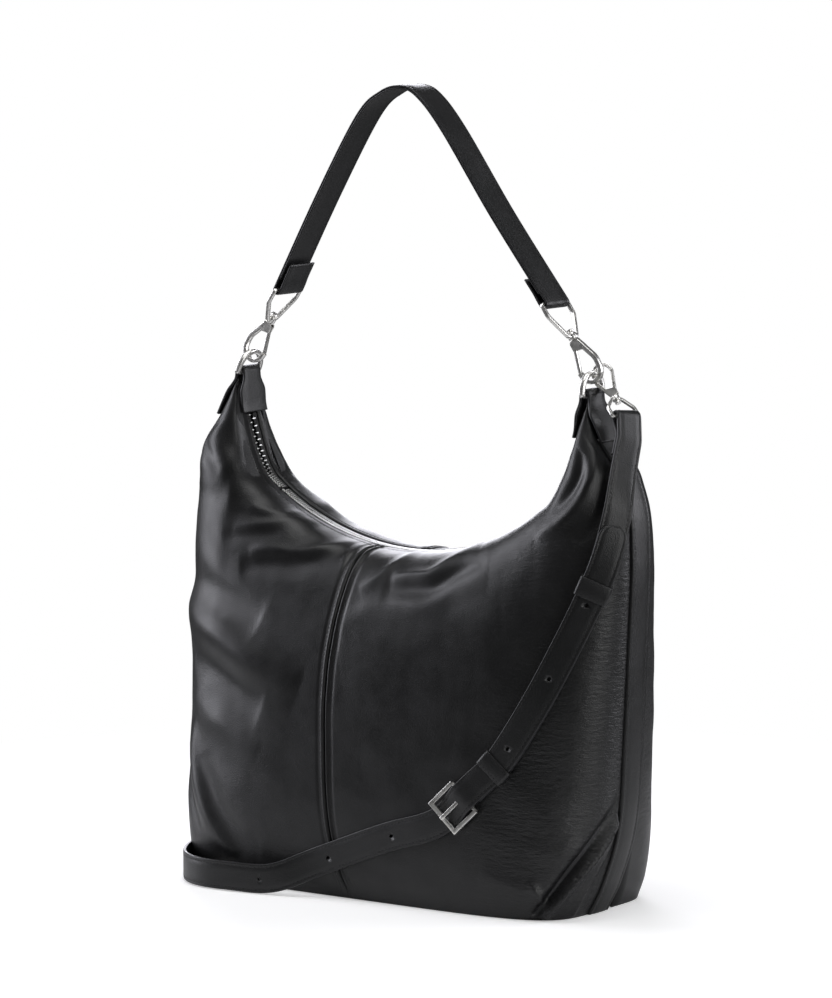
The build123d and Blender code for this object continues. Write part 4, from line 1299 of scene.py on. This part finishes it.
def make_hardware():
    frame_part, gate = hook_shapes()
    for name, body, place, eye_place, half_inner, bar_at in hook_places():
        metal_piece(f"snap_hook_{name}", place, frame_part, f"hook_{name}", f"hook_{name}")
        metal_piece(f"snap_gate_{name}", place, gate, f"gate_{name}", f"gate_{name}")
        metal_piece(f"swivel_eye_{name}", eye_place, eye_shape(bar_at, half_inner), body, f"eye_{name}")
    arc = [(RING_HALF * math.cos(a), RING_STRAIGHT + RING_HALF * math.sin(a)) for a in np.linspace(0, math.pi, 22)]
    corners = rounded_path([(-RING_HALF, RING_STRAIGHT), (-RING_HALF, 0), (RING_HALF, 0),
                            (RING_HALF, RING_STRAIGHT)], 2.9)
    ring = band(np.array(list(corners[:-1]) + arc[:-1]), WIRE, WIRE, 1.25, closed=True)
    for name, side in (("left", -1), ("right", 1)):
        lean = math.radians(RING_TILT[side])
        up = np.array([-side * math.sin(lean), 0, math.cos(lean)])
        place = local_frame((side * RING_BAR[0], 0, RING_BAR[1]), (0, 1, 0), np.cross((0, 1, 0), up))
        metal_piece(f"d_ring_{name}", place, ring, f"ring_{name}", f"ring_{name}")
    make_buckle()
    for name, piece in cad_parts.items():
        if name.startswith(("gate_pin_", "zip_slider", "zip_puller")):
            piece.data.materials.clear()
            piece.data.materials.append(ZIP_METAL if name.startswith("zip_") else NICKEL)


BUCKLE_SIDE = 14.3
PIN_RING = 2.05             # the pin's own ring, round the buckle's bar


def make_buckle():
    heel, way, normal = strap_at(BUCKLE_RUN, 3.0)
    front = strap_at(BUCKLE_RUN + 23, 5.8)[0]
    place = local_frame(heel, front - heel, normal)
    loop = band(np.array([(-0.4, BUCKLE_SIDE), (23.0, BUCKLE_SIDE), (23.0, -BUCKLE_SIDE), (-0.4, -BUCKLE_SIDE)]),
                1.7, 1.5, 0.55)
    bar_points, bar_faces = turned([(-BUCKLE_SIDE, 1.4), (BUCKLE_SIDE, 1.4)], 20)
    bar = bar_points[:, [1, 0, 2]], [face[::-1] for face in bar_faces]
    metal_piece("buckle_loop", place, joined(loop, bar), "buckle", "buckle_frame")
    tongue = band(np.array([(0.0, 2.05), (6.0, 2.35), (20.0, 2.35), (22.6, 2.5), (24.4, 2.0)]), 0.75, 1.4, 0.4,
                  plane="xz")
    ring_path = np.array([(PIN_RING * math.cos(a), PIN_RING * math.sin(a))
                          for a in np.linspace(0, 2 * math.pi, 25)[:-1]])
    ring = band(ring_path, 0.55, 1.4, 0.3, closed=True, plane="xz")
    metal_piece("buckle_pin", place, joined(tongue, ring), "tongue", "buckle_tongue")


# ---- the set ----
CAMERA_TURN = 35
CAMERA_RISE = 7
CAMERA_AWAY = 4.0
CAMERA_TARGET = (0.0, 0.0, 0.3013)
CAMERA_LENS = 187

BACKDROP = 1.0              # how bright the white surroundings look
AMBIENT = 0.09              # how much light they give
FLOOR_LIFT = 0.36           # how much the floor near the bag is brightened as seen
FLOOR_SIZE = 14             # metres, from the middle to each edge
FADE = (0.34, 0.75)         # metres from the middle, where the floor begins and ends its fade
# name, azimuth, height, distance, size, power, colour
LAMPS = [("left_box", -72, 0.8, 1.7, (0.8, 1.6), 20, (0.93, 0.93, 1.0)),
         ("right_box", 74, 0.6, 1.6, (0.45, 1.3), 8, (1, 1, 1)),
         ("back_left", -140, 0.8, 2.0, (1.0, 1.3), 24, (0.93, 0.93, 1.0)),
         ("back_right", 130, 0.8, 2.0, (0.8, 1.3), 17, (0.95, 0.95, 1.0)),
         ("top_box", 10, 2.2, 0.3, (1.4, 1.4), 17, (1, 1, 1))]


def seen_and_lit(tree, socket, seen, lit):
    """A strength that is one number where the picture shows it and another where it lights."""
    ray = tree.nodes.new("ShaderNodeLightPath")
    mix = tree.nodes.new("ShaderNodeMapRange")
    mix.inputs["To Min"].default_value = lit
    mix.inputs["To Max"].default_value = seen
    tree.links.new(ray.outputs["Is Camera Ray"], mix.inputs["Value"])
    tree.links.new(mix.outputs["Result"], socket)


def make_floor():
    """White paper that fades into the white surroundings away from the bag."""
    mesh = bpy.data.meshes.new("floor")
    corners = [(-1, -1), (1, -1), (1, 1), (-1, 1)]
    mesh.from_pydata([(x * FLOOR_SIZE, y * FLOOR_SIZE, 0) for x, y in corners], [], [(0, 1, 2, 3)])
    floor = bpy.data.objects.new("floor", mesh)
    floor.location.z = -0.0006
    bpy.context.scene.collection.objects.link(floor)
    paper = Nodes("paper")
    paper.set(Base_Color=(0.9, 0.9, 0.9, 1), Roughness=0.9, Specular_IOR_Level=0.1,
              Emission_Color=(1, 1, 1, 1))
    seen_and_lit(paper.tree, paper.shader.inputs["Emission Strength"], FLOOR_LIFT, 0.0)
    glow = paper.add("ShaderNodeEmission")
    seen_and_lit(paper.tree, glow.inputs["Strength"], BACKDROP, AMBIENT)
    away = paper.add("ShaderNodeVectorMath", operation="LENGTH")
    paper.link(paper.place, away.inputs[0])
    mix = paper.add("ShaderNodeMixShader")
    paper.link(paper.spread(away.outputs["Value"], *FADE, 0.0, 1.0), mix.inputs["Fac"])
    paper.link(paper.shader.outputs["BSDF"], mix.inputs[1])
    paper.link(glow.outputs["Emission"], mix.inputs[2])
    paper.link(mix.outputs["Shader"], paper.tree.nodes["Material Output"].inputs["Surface"])
    floor.data.materials.append(paper.material)


def make_set():
    turn = math.radians(CAMERA_TURN)
    rise = math.radians(CAMERA_RISE)
    back = Vector((math.sin(turn) * math.cos(rise), -math.cos(turn) * math.cos(rise), math.sin(rise)))
    data = bpy.data.cameras.new("camera")
    data.lens = CAMERA_LENS
    camera = bpy.data.objects.new("camera", data)
    camera.location = Vector(CAMERA_TARGET) + back * CAMERA_AWAY
    camera.rotation_mode = "QUATERNION"
    camera.rotation_quaternion = (-back).to_track_quat("-Z", "Y")
    data.clip_end = 50
    bpy.context.scene.collection.objects.link(camera)
    bpy.context.scene.camera = camera

    make_floor()
    world = bpy.data.worlds.new("studio")
    bpy.context.scene.world = world
    world.use_nodes = True
    tree = world.node_tree
    seen_and_lit(tree, tree.nodes["Background"].inputs["Strength"], BACKDROP, AMBIENT)
    tree.nodes["Background"].inputs["Color"].default_value = (1, 1, 1, 1)
    bpy.context.scene.view_settings.view_transform = "Standard"

    for name, azimuth, height, away, size, power, tone in LAMPS:
        data = bpy.data.lights.new(name, "AREA")
        data.shape = "RECTANGLE"
        data.size, data.size_y = size
        data.energy = power
        data.color = tone
        lamp = bpy.data.objects.new(name, data)
        angle = math.radians(azimuth)
        lamp.location = (math.sin(angle) * away, -math.cos(angle) * away, height)
        lamp.rotation_mode = "QUATERNION"
        lamp.rotation_quaternion = (Vector((0, 0, 0.25)) - lamp.location).to_track_quat("-Z", "Y")
        bpy.context.scene.collection.objects.link(lamp)


make_bag()
make_side_strips()
make_lining()
make_zip()
make_tabs()
make_handle()
make_strap()
keeper_loop("fixed_loop", BUCKLE_RUN - 34, 3.1, 6.2, 13, "bag", "fixed_keeper")
keeper_loop("sliding_loop", LOOSE_KEEPER_RUN, 3.1, 7.2, 15, "loose_keeper", "loose_keeper")
make_hardware()
make_set()
